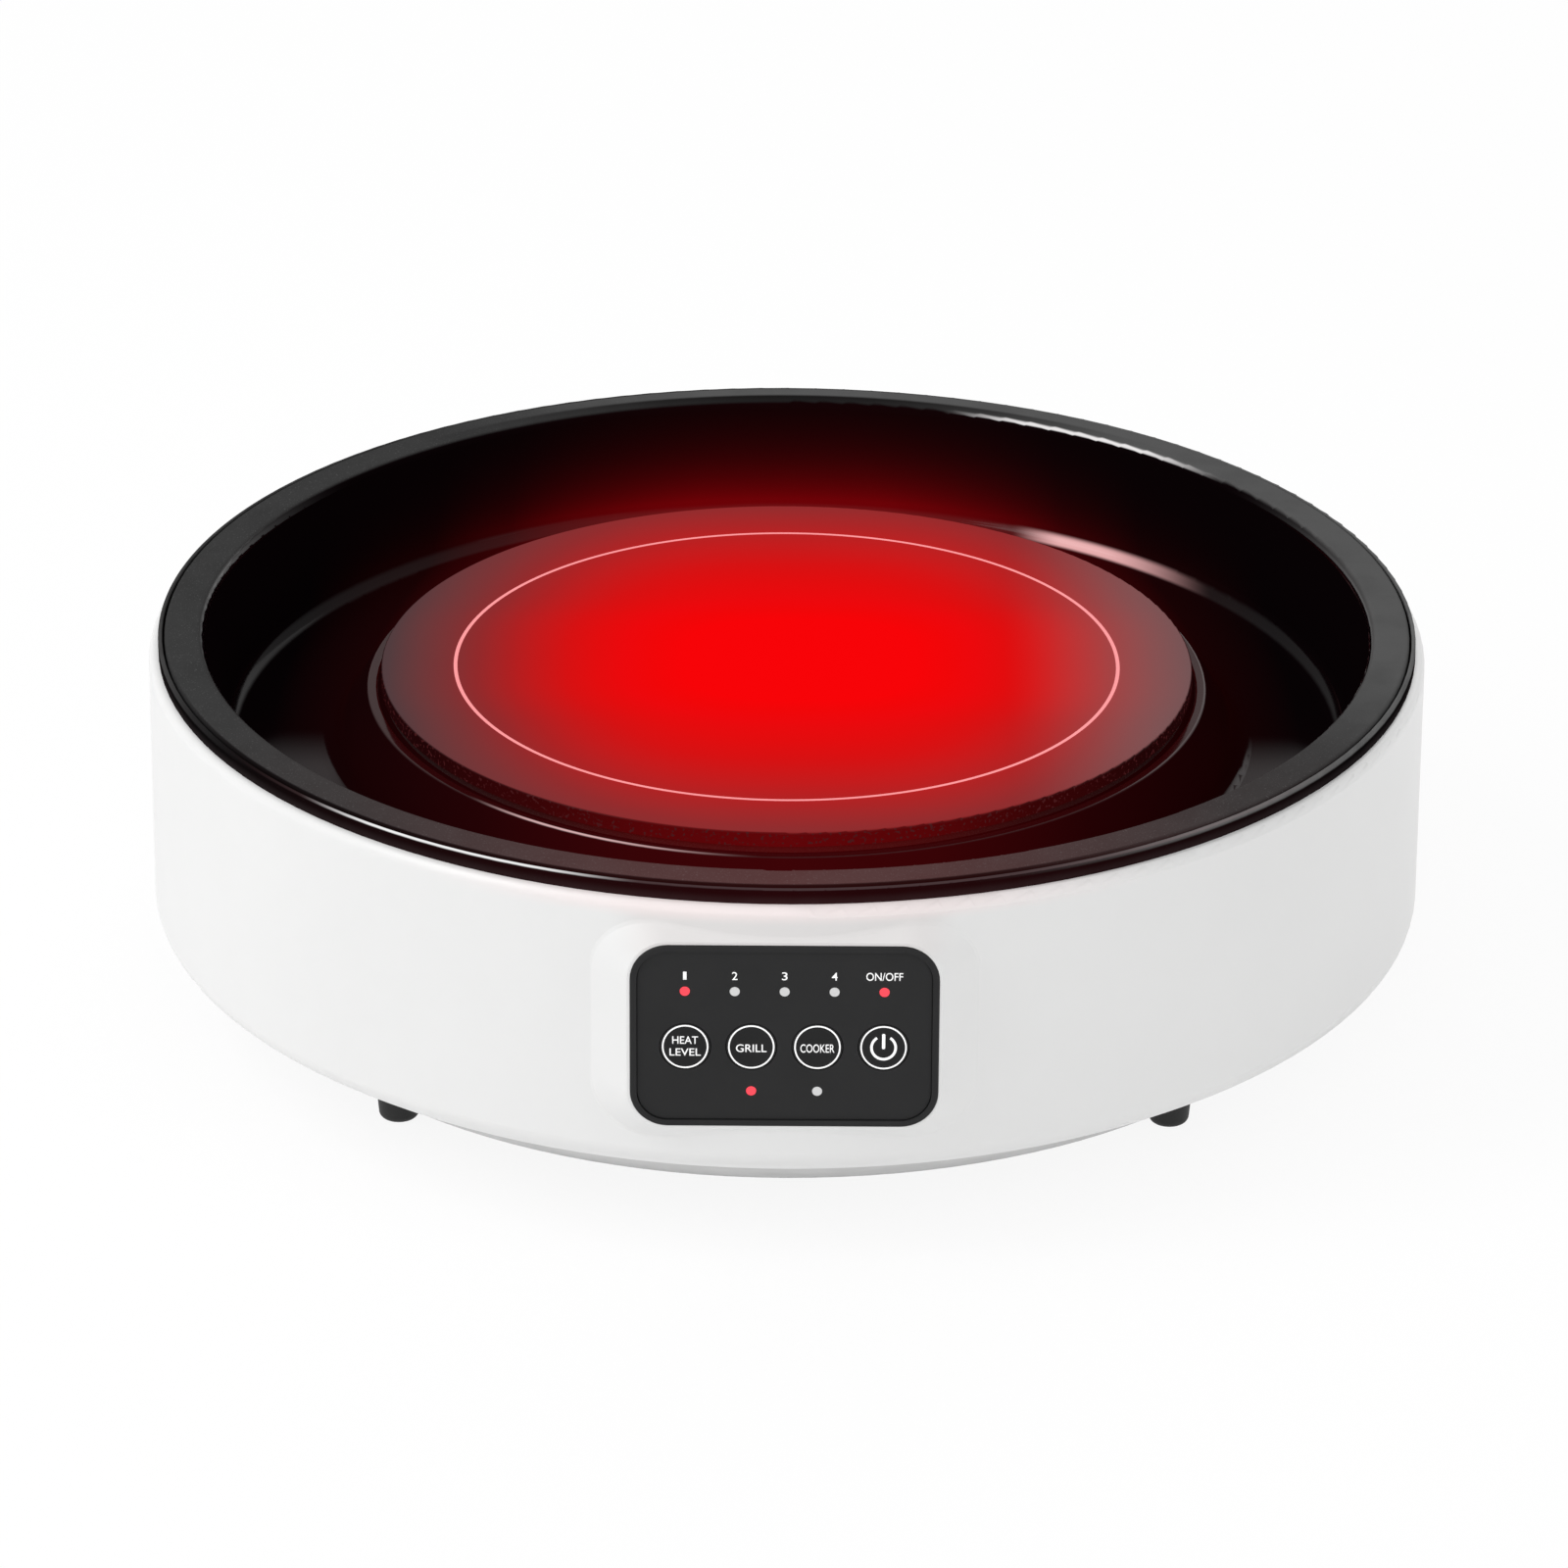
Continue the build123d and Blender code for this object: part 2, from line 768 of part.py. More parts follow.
# Heater pan: pressed dish with flat pads for the limiter and the terminals
pad_y = pan_r + pad_proud
with BuildPart() as heater_pan:
    pan_points = (
        (0, pan_z),
        (pan_r, pan_z),
        (pan_r, pan_top_z),
        (pan_r - pan_wall, pan_top_z),
        (pan_r - pan_wall, pan_z + pan_wall),
        (0, pan_z + pan_wall),
    )
    add(ring_section(*pan_points, rounds=(0, pan_round, 0, 0, pan_round - pan_wall, 0)))
    revolve(axis=Axis.Z)
    pad_low = pan_z + pan_round
    with BuildSketch(Plane.XY.offset(pad_low)):
        with Locations((0, pad_y - pad_proud), (0, -pad_y + pad_proud)):
            Rectangle(pad_w, 2 * pad_proud)
    extrude(amount=pan_top_z - pad_low - pan_round)
    with BuildSketch(Plane.XZ.offset(pad_y)):
        with Locations((0, rod_z)):
            Circle(rod_r + ease)
    extrude(amount=-pad_w, mode=Mode.SUBTRACT)
    with BuildSketch(Plane.XZ.offset(-pad_y)):
        with Locations((-coil_gap, lead_in_z), (coil_gap, lead_in_z)):
            Circle(lead_in_r + ease)
    extrude(amount=pad_w, mode=Mode.SUBTRACT)
write(heater_pan, "heater_pan")

# Insulation: floor disc and upright ring that bears on the plate
with BuildPart() as insulation_base:
    with BuildSketch(Plane.XY.offset(felt_z)):
        Circle(felt_r)
    extrude(amount=felt_floor)
    fillet(insulation_base.edges().group_by(Axis.Z)[0], pan_round - pan_wall + slip)
write(insulation_base, "insulation_base")

with BuildPart() as insulation_ring:
    with BuildSketch(Plane.XY.offset(coil_z)):
        Circle(felt_r)
        Circle(felt_r - felt_ring_w, mode=Mode.SUBTRACT)
    extrude(amount=plate_z - coil_z)
    with BuildSketch(Plane.XZ.offset(felt_r)):
        with Locations((0, rod_z)):
            Circle(rod_r + slip)
    extrude(amount=-2 * felt_ring_w, mode=Mode.SUBTRACT)
    with BuildSketch(Plane.XZ.offset(-felt_r)):
        with Locations((-coil_gap, lead_in_z), (coil_gap, lead_in_z)):
            Circle(lead_in_r + slip)
    extrude(amount=2 * felt_ring_w, mode=Mode.SUBTRACT)
write(insulation_ring, "insulation_ring")

# Heating coil: one ribbon that winds to and fro in two mirrored halves
with BuildPart() as heating_coil:
    radii = [coil_out_r - i * coil_pitch for i in range(coil_turns)]
    reaches = [sqrt(radius**2 - coil_gap**2) for radius in radii]
    with BuildSketch(Plane.XY.offset(coil_z)) as ribbon:
        for side in (-1, 1):
            with BuildLine() as path:
                for i, radius in enumerate(radii):
                    last = i == coil_turns - 1
                    end_x = 0 if last else side * coil_gap
                    end_y = -radius if last else -reaches[i]
                    start = (side * coil_gap, reaches[i])
                    ThreePointArc(start, (side * radius, 0), (end_x, end_y))
                for i in range(coil_turns - 1):
                    way = -1 if i % 2 == 0 else 1
                    outer_end = (side * coil_gap, way * reaches[i])
                    inner_end = (side * coil_gap, way * reaches[i + 1])
                    bulge_x = side * (coil_gap - coil_pitch / 2)
                    bulge = (bulge_x, way * (reaches[i] + reaches[i + 1]) / 2)
                    ThreePointArc(outer_end, bulge, inner_end)
            trace(line_width=ribbon_t)
    extrude(amount=ribbon_h)
write(heating_coil, "heating_coil")

# Over-temperature limiter: rod across the coil and switch body outside the pan
with BuildPart() as limiter_rod:
    with BuildSketch(Plane.XZ.offset(pad_y)):
        with Locations((0, rod_z)):
            Circle(rod_r)
    extrude(amount=-pad_y - rod_reach)
write(limiter_rod, "limiter_rod")

limiter_top = shelf_under_z - 2 * part_gap
blade_spots = [(-blade_pitch / 2, blade_z), (blade_pitch / 2, blade_z)]
with BuildPart() as limiter_switch:
    with BuildSketch(Plane.XZ.offset(pad_y)):
        with Locations((0, limiter_top - limiter_h / 2)):
            RectangleRounded(limiter_w, limiter_h, 2 * part_gap)
    extrude(amount=limiter_d)
    with BuildSketch(Plane.XZ.offset(pad_y + limiter_d)):
        with Locations(*blade_spots):
            Rectangle(blade_w, blade_t)
    extrude(amount=blade_l)
write(limiter_switch, "limiter_switch")

# Heater terminals: ceramic block, two blades and the coil leads
with BuildPart() as heater_terminals:
    block_low = blade_z - block_h / 4
    with BuildSketch(Plane.XZ.offset(-pad_y)):
        with Locations((0, block_low + block_h / 2)):
            Rectangle(block_w, block_h)
    extrude(amount=-block_d)
    chamfer(heater_terminals.edges().filter_by(Axis.Y), 2 * part_gap)
    with BuildSketch(Plane.XZ.offset(-pad_y - block_d)):
        with Locations(*blade_spots):
            Rectangle(blade_w, blade_t)
    extrude(amount=-blade_l)
    with BuildSketch(Plane.XZ.offset(-pad_y)):
        with Locations((-coil_gap, lead_in_z), (coil_gap, lead_in_z)):
            Circle(lead_in_r)
    extrude(amount=pad_y - reaches[0] - ribbon_t / 2)
write(heater_terminals, "heater_terminals")

# Bar across the basin that carries the heater
with BuildPart() as heater_bracket:
    foot_out = bar_foot_r + bar_foot_l / 4
    foot_in = foot_out - bar_foot_l
    ramp_in = foot_in - bar_ramp_l
    foot_low = boss_z - bar_t
    with BuildSketch(Plane.XZ):
        with BuildLine():
            FilletPolyline(
                (-foot_out, foot_low),
                (-foot_in, foot_low),
                (-ramp_in, bar_z),
                (ramp_in, bar_z),
                (foot_in, foot_low),
                (foot_out, foot_low),
                (foot_out, boss_z),
                (foot_in, boss_z),
                (ramp_in, bar_z + bar_t),
                (-ramp_in, bar_z + bar_t),
                (-foot_in, boss_z),
                (-foot_out, boss_z),
                radius=(0, 2, 2, 2, 2, 0, 0, 2, 2, 2, 2, 0),
                close=True,
            )
        make_face()
    extrude(amount=bar_w / 2, both=True)
    with BuildSketch(Plane.XY.offset(bar_z)):
        with Locations((-bar_foot_r, 0), (bar_foot_r, 0)):
            Circle(screw_r + ease)
        with Locations((-rivet_x, 0), (rivet_x, 0)):
            Circle(rivet_r + slip)
    extrude(amount=boss_z - bar_z, mode=Mode.SUBTRACT)
write(heater_bracket, "heater_bracket")

# Leaf spring between bar and pan
with BuildPart() as heater_spring:
    spring_low = bar_z + bar_t
    spring_rise = pan_z - spring_low - spring_t
    with BuildSketch(Plane.XZ):
        with BuildLine():
            ends = [(-spring_half, spring_low + spring_rise), (spring_half, spring_low + spring_rise)]
            tops = [(-spring_half, pan_z), (spring_half, pan_z)]
            ThreePointArc(ends[0], (0, spring_low), ends[1])
            Line(ends[1], tops[1])
            ThreePointArc(tops[1], (0, spring_low + spring_t), tops[0])
            Line(tops[0], ends[0])
        make_face()
    extrude(amount=spring_w / 2, both=True)
write(heater_spring, "heater_spring")

# Heat shield: sheet tray with a raised rim and air holes
with BuildPart() as heat_shield:
    with BuildSketch(Plane.XY.offset(shield_z)):
        Circle(shield_r)
    extrude(amount=shield_t + shield_rim_h)
    with BuildSketch(Plane.XY.offset(bar_z)):
        Circle(shield_r - shield_t)
    extrude(amount=shield_rim_h, mode=Mode.SUBTRACT)
    with BuildSketch(Plane.XY.offset(shield_z)):
        with PolarLocations(shield_r * 2 / 3, shield_holes, start_angle=180 / shield_holes):
            Circle(shield_hole_r)
        with Locations((-rivet_x, 0), (rivet_x, 0)):
            Circle(rivet_r + slip)
    extrude(amount=shield_t, mode=Mode.SUBTRACT)
write(heat_shield, "heat_shield")

with BuildPart() as shield_rivets:
    with BuildSketch(Plane.XY.offset(shield_z - rivet_head_h)):
        with Locations((-rivet_x, 0), (rivet_x, 0)):
            Circle(rivet_head_r)
    extrude(amount=rivet_head_h)
    with BuildSketch(Plane.XY.offset(shield_z)):
        with Locations((-rivet_x, 0), (rivet_x, 0)):
            Circle(rivet_r)
    extrude(amount=shield_t + bar_t)
    with BuildSketch(Plane.XY.offset(bar_z + bar_t)):
        with Locations((-rivet_x, 0), (rivet_x, 0)):
            Circle(rivet_head_r)
    extrude(amount=rivet_head_h)
write(shield_rivets, "shield_rivets")


def screws(spots, seat_z, length, up):
    """Pan-head screws at the spots. Heads sit under the seat when up, above it otherwise."""
    way = 1 if up else -1
    with BuildPart() as group:
        with BuildSketch(Plane.XY.offset(seat_z)):
            with Locations(*spots):
                Circle(screw_head_r)
        extrude(amount=-way * screw_head_h)
        with BuildSketch(Plane.XY.offset(seat_z)):
            with Locations(*spots):
                Circle(screw_r)
        extrude(amount=way * length)
    return group


bracket_screws = screws([(-bar_foot_r, 0), (bar_foot_r, 0)], foot_low, bar_t + boss_h - part_gap, True)
write(bracket_screws, "bracket_screws")

stud_spots = [
    (stud_ring_r * cos(radians(i * 360 / stud_count)), stud_ring_r * sin(radians(i * 360 / stud_count)))
    for i in range(stud_count)
]
basin_screws = screws(stud_spots, ledge_under_z, top_z - cast_wall - ledge_under_z - part_gap, True)
write(basin_screws, "basin_screws")

base_seat_z = foot_h + head_well_h
base_screws = screws(post_spots, base_seat_z, screw_l, True)
write(base_screws, "base_screws")

# Screws that hold the fan and the power board down to the base
fan_seat_z = fan_z + fan_flange_t
fan_screws = screws(fan_spots, fan_seat_z, fan_seat_z - pilot_z - part_gap, False)
board_screws = screws(power_spots, deck_z, deck_z - pilot_z - part_gap, False)
with BuildPart() as inner_screws:
    add(fan_screws.part)
    add(board_screws.part)
write(inner_screws, "inner_screws")

# Fan frame: duct, two square flanges, struts and bearing tube
with BuildPart() as fan_frame:
    with BuildSketch(Plane.XY.offset(fan_z)):
        with Locations((fan_x, fan_y)):
            RectangleRounded(fan_w, fan_w, fan_w / 16)
    extrude(amount=fan_h)
    with BuildSketch(Plane.XY.offset(fan_z)):
        with Locations((fan_x, fan_y)):
            Circle(fan_duct_r)
    extrude(amount=fan_h, mode=Mode.SUBTRACT)
    with BuildSketch(Plane.XY.offset(fan_z + fan_flange_t)):
        with Locations((fan_x, fan_y)):
            Rectangle(2 * fan_w, 2 * fan_w)
            Circle(fan_duct_r + fan_skin, mode=Mode.SUBTRACT)
    extrude(amount=fan_h - 2 * fan_flange_t, mode=Mode.SUBTRACT)
    with BuildSketch(Plane.XY.offset(fan_z)):
        with Locations((fan_x, fan_y)):
            Circle(motor_r)
            for turn in (0, 90):
                Rectangle(2 * fan_duct_r + fan_skin, strut_w, rotation=turn)
    extrude(amount=motor_t)
    with BuildSketch(Plane.XY.offset(fan_z + motor_t)):
        with Locations((fan_x, fan_y)):
            Circle(tube_r)
            Circle(bearing_r, mode=Mode.SUBTRACT)
    extrude(amount=tube_h)
    with BuildSketch(Plane.XY.offset(fan_z)):
        with Locations(*fan_spots):
            Circle(screw_r + ease)
    extrude(amount=fan_h, mode=Mode.SUBTRACT)
    with BuildSketch(Plane.XY.offset(fan_z + fan_flange_t)):
        with Locations(*fan_spots):
            Circle(screw_head_r + ease)
    extrude(amount=fan_h, mode=Mode.SUBTRACT)
write(fan_frame, "fan_frame")

with BuildPart() as fan_bearing:
    with BuildSketch(Plane.XY.offset(fan_z + motor_t)):
        with Locations((fan_x, fan_y)):
            Circle(bearing_r)
            Circle(shaft_r + slip, mode=Mode.SUBTRACT)
    extrude(amount=tube_h)
write(fan_bearing, "fan_bearing")

# Stator: four wound poles round the bearing tube
with BuildPart() as fan_stator:
    with BuildSketch(Plane.XY.offset(fan_z + motor_t + part_gap)):
        with Locations((fan_x, fan_y)):
            Circle(stator_r)
            Circle(tube_r, mode=Mode.SUBTRACT)
            with PolarLocations(stator_r, stator_slots, start_angle=45):
                SlotOverall(stator_r, slot_w, mode=Mode.SUBTRACT)
    extrude(amount=stator_h)
write(fan_stator, "fan_stator")

# Rotor: cup over the stator and swept blades trimmed to the duct
hub_z = fan_z + motor_t + 2 * part_gap
with BuildPart() as blade_blank:
    for reach, pitch in ((hub_r - hub_wall, root_pitch), (tip_r + hub_wall, tip_pitch)):
        with BuildSketch(Plane(origin=(reach, 0, 0), x_dir=(0, 1, 0), z_dir=(1, 0, 0))):
            SlotOverall(blade_chord, blade_thick, rotation=pitch)
    loft()
    with BuildSketch(Plane.XY.offset(-hub_h / 2)):
        Circle(tip_r)
        Circle(hub_r - hub_wall / 2, mode=Mode.SUBTRACT)
    extrude(amount=hub_h, mode=Mode.INTERSECT)

with BuildPart() as fan_rotor:
    with BuildSketch(Plane.XY.offset(hub_z)):
        with Locations((fan_x, fan_y)):
            Circle(hub_r)
    extrude(amount=hub_h)
    fillet(fan_rotor.edges().group_by(Axis.Z)[-1], hub_wall)
    with BuildSketch(Plane.XY.offset(hub_z)):
        with Locations((fan_x, fan_y)):
            Circle(hub_r - hub_wall)
    extrude(amount=hub_h - hub_wall, mode=Mode.SUBTRACT)
    with BuildSketch(Plane.XY.offset(hub_z + hub_h - hub_wall)):
        with Locations((fan_x, fan_y)):
            Circle(bearing_r)
    extrude(amount=-hub_wall)
    with BuildSketch(Plane.XY.offset(hub_z)):
        with Locations((fan_x, fan_y)):
            Circle(shaft_r)
    extrude(amount=hub_h - hub_wall, mode=Mode.SUBTRACT)
    with Locations((fan_x, fan_y, hub_z + hub_h / 2)):
        with PolarLocations(0, blade_count):
            add(blade_blank.part)
write(fan_rotor, "fan_rotor")

with BuildPart() as fan_shaft:
    shaft_z = fan_z + motor_t + part_gap
    with BuildSketch(Plane.XY.offset(shaft_z)):
        with Locations((fan_x, fan_y)):
            Circle(shaft_r)
    extrude(amount=hub_z + hub_h - hub_wall - shaft_z)
write(fan_shaft, "fan_shaft")

# Power board on four standoffs
with BuildPart() as power_board:
    with BuildSketch(Plane.XY.offset(power_z)):
        with Locations((power_x, power_y)):
            RectangleRounded(power_w, power_d, power_hole_inset / 2)
        with Locations(*power_spots):
            Circle(screw_r + ease, mode=Mode.SUBTRACT)
    extrude(amount=board_t)
write(power_board, "power_board")

board_left = power_x - power_w / 2
board_right = power_x + power_w / 2
board_front = power_y - power_d / 2
board_rear = power_y + power_d / 2
edge_clear = power_hole_inset + screw_head_r + part_gap

# Screw terminal blocks: heater pair and mains at the rear, limiter pair at the front
pair_x = board_left + edge_clear + pair_w / 2
mains_x = board_right - edge_clear - mains_w / 2
heater_lead_xs = (pair_x - lead_spread / 2, pair_x + lead_spread / 2)
limiter_lead_xs = heater_lead_xs
lead_end_z = deck_z + term_h / 2
heater_block_y = board_rear - term_inset
limiter_block_y = board_front + term_inset
with BuildPart() as board_terminals:
    with BuildSketch(Plane.XY.offset(deck_z)):
        with Locations((pair_x, heater_block_y)):
            Rectangle(pair_w, term_d, align=(Align.CENTER, Align.MAX))
        with Locations((mains_x, heater_block_y)):
            Rectangle(mains_w, term_d, align=(Align.CENTER, Align.MAX))
        with Locations((pair_x, limiter_block_y)):
            Rectangle(pair_w, term_d, align=(Align.CENTER, Align.MIN))
    extrude(amount=term_h)
    chamfer(board_terminals.edges().filter_by(Axis.X).group_by(Axis.Z)[-1], small_edge)
write(board_terminals, "board_terminals")

# Finned heatsink and the triac bolted to its flat side
sink_x = pair_x + pair_w / 2 + part_gap + sink_w / 2
sink_y = power_y - sink_d / 4
with BuildPart() as triac_heatsink:
    with BuildSketch(Plane.XY.offset(deck_z)):
        with Locations((sink_x, sink_y)):
            Rectangle(sink_w, sink_back, align=(Align.CENTER, Align.MAX))
            with GridLocations((sink_w - fin_t) / (fin_count - 1), 0, fin_count, 1):
                Rectangle(fin_t, sink_d, align=(Align.CENTER, Align.MIN))
    extrude(amount=sink_h)
write(triac_heatsink, "triac_heatsink")

triac_y = sink_y - sink_back
with BuildPart() as triac:
    with BuildSketch(Plane.XY.offset(deck_z + leg_l)):
        with Locations((sink_x, triac_y)):
            Rectangle(triac_w, triac_t, align=(Align.CENTER, Align.MAX))
    extrude(amount=triac_h)
    chamfer(triac.edges().group_by(Axis.Z)[-1].sort_by(Axis.Y)[0], small_edge)
    with BuildSketch(Plane.XY.offset(deck_z)):
        with Locations((sink_x, triac_y - triac_t / 2)):
            with GridLocations(triac_w / 4, 0, 3, 1):
                Rectangle(leg_t, leg_t)
    extrude(amount=leg_l)
write(triac, "triac")

# Relay in front of the transformer, choke beside it
relay_x = board_right - edge_clear - relay_w / 2
relay_y = board_front + term_inset + relay_d / 2
with BuildPart() as power_relay:
    with BuildSketch(Plane.XY.offset(deck_z)):
        with Locations((relay_x, relay_y)):
            RectangleRounded(relay_w, relay_d, small_edge)
    extrude(amount=relay_h)
    chamfer(power_relay.edges().group_by(Axis.Z)[-1], small_edge / 2)
write(power_relay, "power_relay")

choke_x = relay_x - relay_w / 2 - part_gap - choke_r
with BuildPart() as choke_blank:
    choke_points = ((choke_hole_r, 0), (choke_r, 0), (choke_r, choke_h), (choke_hole_r, choke_h))
    add(ring_section(*choke_points, rounds=[choke_round] * 4))
    revolve(axis=Axis.Z)
with BuildPart() as line_choke:
    with Locations((choke_x, board_front + choke_r + small_edge, deck_z)):
        add(choke_blank.part)
write(line_choke, "line_choke")

cap_x = pair_x + pair_w / 2 + small_edge + cap_w / 2
cap_y = board_rear - small_edge - cap_d / 2
with BuildPart() as filter_capacitor:
    with BuildSketch(Plane.XY.offset(deck_z)):
        with Locations((cap_x, cap_y)):
            RectangleRounded(cap_w, cap_d, small_edge)
    extrude(amount=cap_h)
    fillet(filter_capacitor.edges().group_by(Axis.Z)[-1], small_edge / 2)
write(filter_capacitor, "filter_capacitor")

# Glass fuse in two clips, behind the limiter terminals
fuse_y = limiter_block_y + term_d + small_edge + fuse_l / 2
with BuildPart() as mains_fuse:
    with BuildSketch(Plane.XZ.offset(-fuse_y - fuse_l / 2)):
        with Locations((pair_x, deck_z + fuse_r + small_edge)):
            Circle(fuse_r)
    extrude(amount=fuse_l)
    with BuildSketch(Plane.XY.offset(deck_z)):
        with Locations((pair_x, fuse_y)):
            with GridLocations(0, fuse_l - clip_w, 1, 2):
                Rectangle(2 * fuse_r + 2 * small_edge, clip_w)
    extrude(amount=fuse_r + small_edge)
write(mains_fuse, "mains_fuse")

# Standby transformer: laminated core with windows and a winding on the middle leg
core_x = board_right - small_edge - core_w / 2
core_y = power_y
with BuildPart() as standby_transformer:
    window = (core_w - leg_w) / 2 - yoke_w
    with BuildSketch(Plane.XZ.offset(-core_y - core_d / 2)):
        with Locations((core_x, deck_z + core_h / 2)):
            Rectangle(core_w, core_h)
            with GridLocations(leg_w + window, 0, 2, 1):
                Rectangle(window, core_h - 2 * yoke_w, mode=Mode.SUBTRACT)
    extrude(amount=core_d)
    with BuildSketch(Plane.XY.offset(deck_z + yoke_w)):
        with Locations((core_x, core_y)):
            RectangleRounded(leg_w + 2 * window, winding_d, small_edge)
            Rectangle(leg_w, core_d, mode=Mode.SUBTRACT)
    extrude(amount=core_h - 2 * yoke_w)
write(standby_transformer, "standby_transformer")

# Control board, upright behind the panel
with BuildPart() as control_board:
    with BuildSketch(front_plane(board_face)):
        RectangleRounded(control_w, control_h, control_boss_r)
        with Locations(*board_spots):
            Circle(screw_r + slip, mode=Mode.SUBTRACT)
    extrude(amount=-board_t)
write(control_board, "control_board")

with BuildPart() as control_chip:
    with BuildSketch(front_plane(board_back)):
        with Locations((0, chip_z - panel_z)):
            Rectangle(chip_w, chip_w)
    extrude(amount=-chip_t)
write(control_chip, "control_chip")

with BuildPart() as control_board_screws:
    with BuildSketch(front_plane(board_back)):
        with Locations(*board_spots):
            Circle(control_boss_r)
    extrude(amount=-chip_t)
    with BuildSketch(front_plane(board_back)):
        with Locations(*board_spots):
            Circle(screw_r)
    extrude(amount=board_t + control_boss_r - part_gap)
write(control_board_screws, "control_board_screws")

# Key switches: square bodies with a bore for the plunger
with BuildPart() as key_switches:
    with BuildSketch(front_plane(board_face)):
        with Locations(*key_spots):
            Rectangle(switch_w, switch_w)
    extrude(amount=switch_h)
    with BuildSketch(front_plane(switch_front)):
        with Locations(*key_spots):
            Circle(plunger_r + 2 * slip)
    extrude(amount=-plunger_in - key_travel - part_gap, mode=Mode.SUBTRACT)
write(key_switches, "key_switches")

with BuildPart() as indicator_leds:
    with BuildSketch(front_plane(board_face)):
        with Locations(*lights):
            Rectangle(led_w, led_w)
    extrude(amount=led_t)
write(indicator_leds, "indicator_leds")

# Light guides from the panel face to the lamps, each with a stop flange
with BuildPart() as indicator_lenses:
    with BuildSketch(front_plane(board_face + led_t)):
        with Locations(*lights):
            Circle(light_r)
    extrude(amount=face_front - board_face - led_t)
    with BuildSketch(front_plane(bezel_back)):
        with Locations(*lights):
            Circle(light_flange_r)
    extrude(amount=-light_flange_t)
write(indicator_lenses, "indicator_lenses")

# Panel bezel: frame with recess, pierced floor and skirt through the shell
with BuildPart() as panel_bezel:
    with BuildSketch(front_plane(bezel_back)):
        RectangleRounded(panel_w, panel_h, panel_round)
    extrude(amount=bezel_seat + bezel_proud)
    fillet(panel_bezel.edges().group_by(Axis.Y)[0], bezel_edge)
    recess_w = panel_w - 2 * bezel_rim
    recess_h = panel_h - 2 * bezel_rim
    with BuildSketch(front_plane(bezel_back + bezel_floor)):
        RectangleRounded(recess_w, recess_h, panel_round - bezel_rim)
    extrude(amount=bezel_seat + bezel_proud, mode=Mode.SUBTRACT)
    skirt_w = panel_w - 2 * bezel_skirt_inset
    skirt_h = panel_h - 2 * bezel_skirt_inset
    with BuildSketch(front_plane(bezel_back)):
        RectangleRounded(skirt_w, skirt_h, panel_round - bezel_skirt_inset)
        offset(amount=-bezel_skirt_t, mode=Mode.SUBTRACT)
    extrude(amount=-bezel_skirt_l)
    with BuildSketch(front_plane(bezel_back)):
        with Locations(*key_spots):
            Circle(key_r + key_gap)
        with Locations(*lights):
            Circle(light_r + slip)
    extrude(amount=bezel_floor, mode=Mode.SUBTRACT)
write(panel_bezel, "panel_bezel")

# Panel face: thin plate in the recess with key and light holes
with BuildPart() as panel_overlay:
    with BuildSketch(front_plane(bezel_back + bezel_floor)):
        RectangleRounded(recess_w - 2 * ease, recess_h - 2 * ease, panel_round - bezel_rim - ease)
        with Locations(*key_spots):
            Circle(key_r + key_gap, mode=Mode.SUBTRACT)
        with Locations(*lights):
            Circle(light_r + slip, mode=Mode.SUBTRACT)
    extrude(amount=face_t)
write(panel_overlay, "panel_overlay")

# Keys: round caps with a stop flange and a stem, and the switch plunger each one pushes
key_front = face_front + key_proud
stop_front = bezel_back - ease
for key_name, key_x in zip(key_names, key_xs):
    key_axis = Axis((key_x, 0, key_z), (0, 1, 0))
    with BuildPart() as key:
        with BuildSketch(Plane.XY.offset(key_z)):
            with BuildLine():
                FilletPolyline(
                    (key_x, -key_front),
                    (key_x + key_r, -key_front),
                    (key_x + key_r, -stop_front),
                    (key_x + key_flange_r, -stop_front),
                    (key_x + key_flange_r, -stop_front + key_flange_t),
                    (key_x + key_stem_r, -stop_front + key_flange_t),
                    (key_x + key_stem_r, -plunger_front),
                    (key_x, -plunger_front),
                    radius=(0, key_round, 0, 0, 0, 0, 0, 0),
                    close=True,
                )
            make_face()
        revolve(axis=key_axis)
    write(key, f"{key_name}_key")

    with BuildPart() as plunger:
        with BuildSketch(front_plane(plunger_front)):
            with Locations((key_x, -key_drop)):
                Circle(plunger_r)
        extrude(amount=-plunger_out - plunger_in)
    write(plunger, f"{key_name}_plunger")

# Cord gland: square bush with a lip on both sides of the wall and a short round tail
with BuildPart() as cord_gland:
    with BuildSketch(Plane.XZ.offset(-gland_in)):
        with Locations((0, gland_z)):
            RectangleRounded(gland_flange_w, gland_flange_w, gland_lip)
    extrude(amount=gland_in - gland_face)
    fillet(cord_gland.edges().group_by(Axis.Y)[-1], gland_seat)
    with BuildSketch(Plane.XZ.offset(-gland_in)):
        with Locations((0, gland_z)):
            Rectangle(gland_w, gland_w)
    lip_y = shell_in_r - part_gap
    extrude(amount=gland_in - lip_y)
    with BuildSketch(Plane.XZ.offset(-lip_y)):
        with Locations((0, gland_z)):
            RectangleRounded(gland_flange_w, gland_flange_w, gland_lip)
    extrude(amount=gland_back_t)
    with BuildSketch(Plane.XZ.offset(-lip_y)):
        with Locations((0, gland_z)):
            Circle(gland_tail_r)
    extrude(amount=gland_back_t + gland_tail)
    with BuildSketch(Plane.XZ.offset(-gland_face)):
        with Locations((0, gland_z)):
            Circle(gland_bore_r)
    extrude(amount=gland_face, mode=Mode.SUBTRACT)
write(cord_gland, "cord_gland")


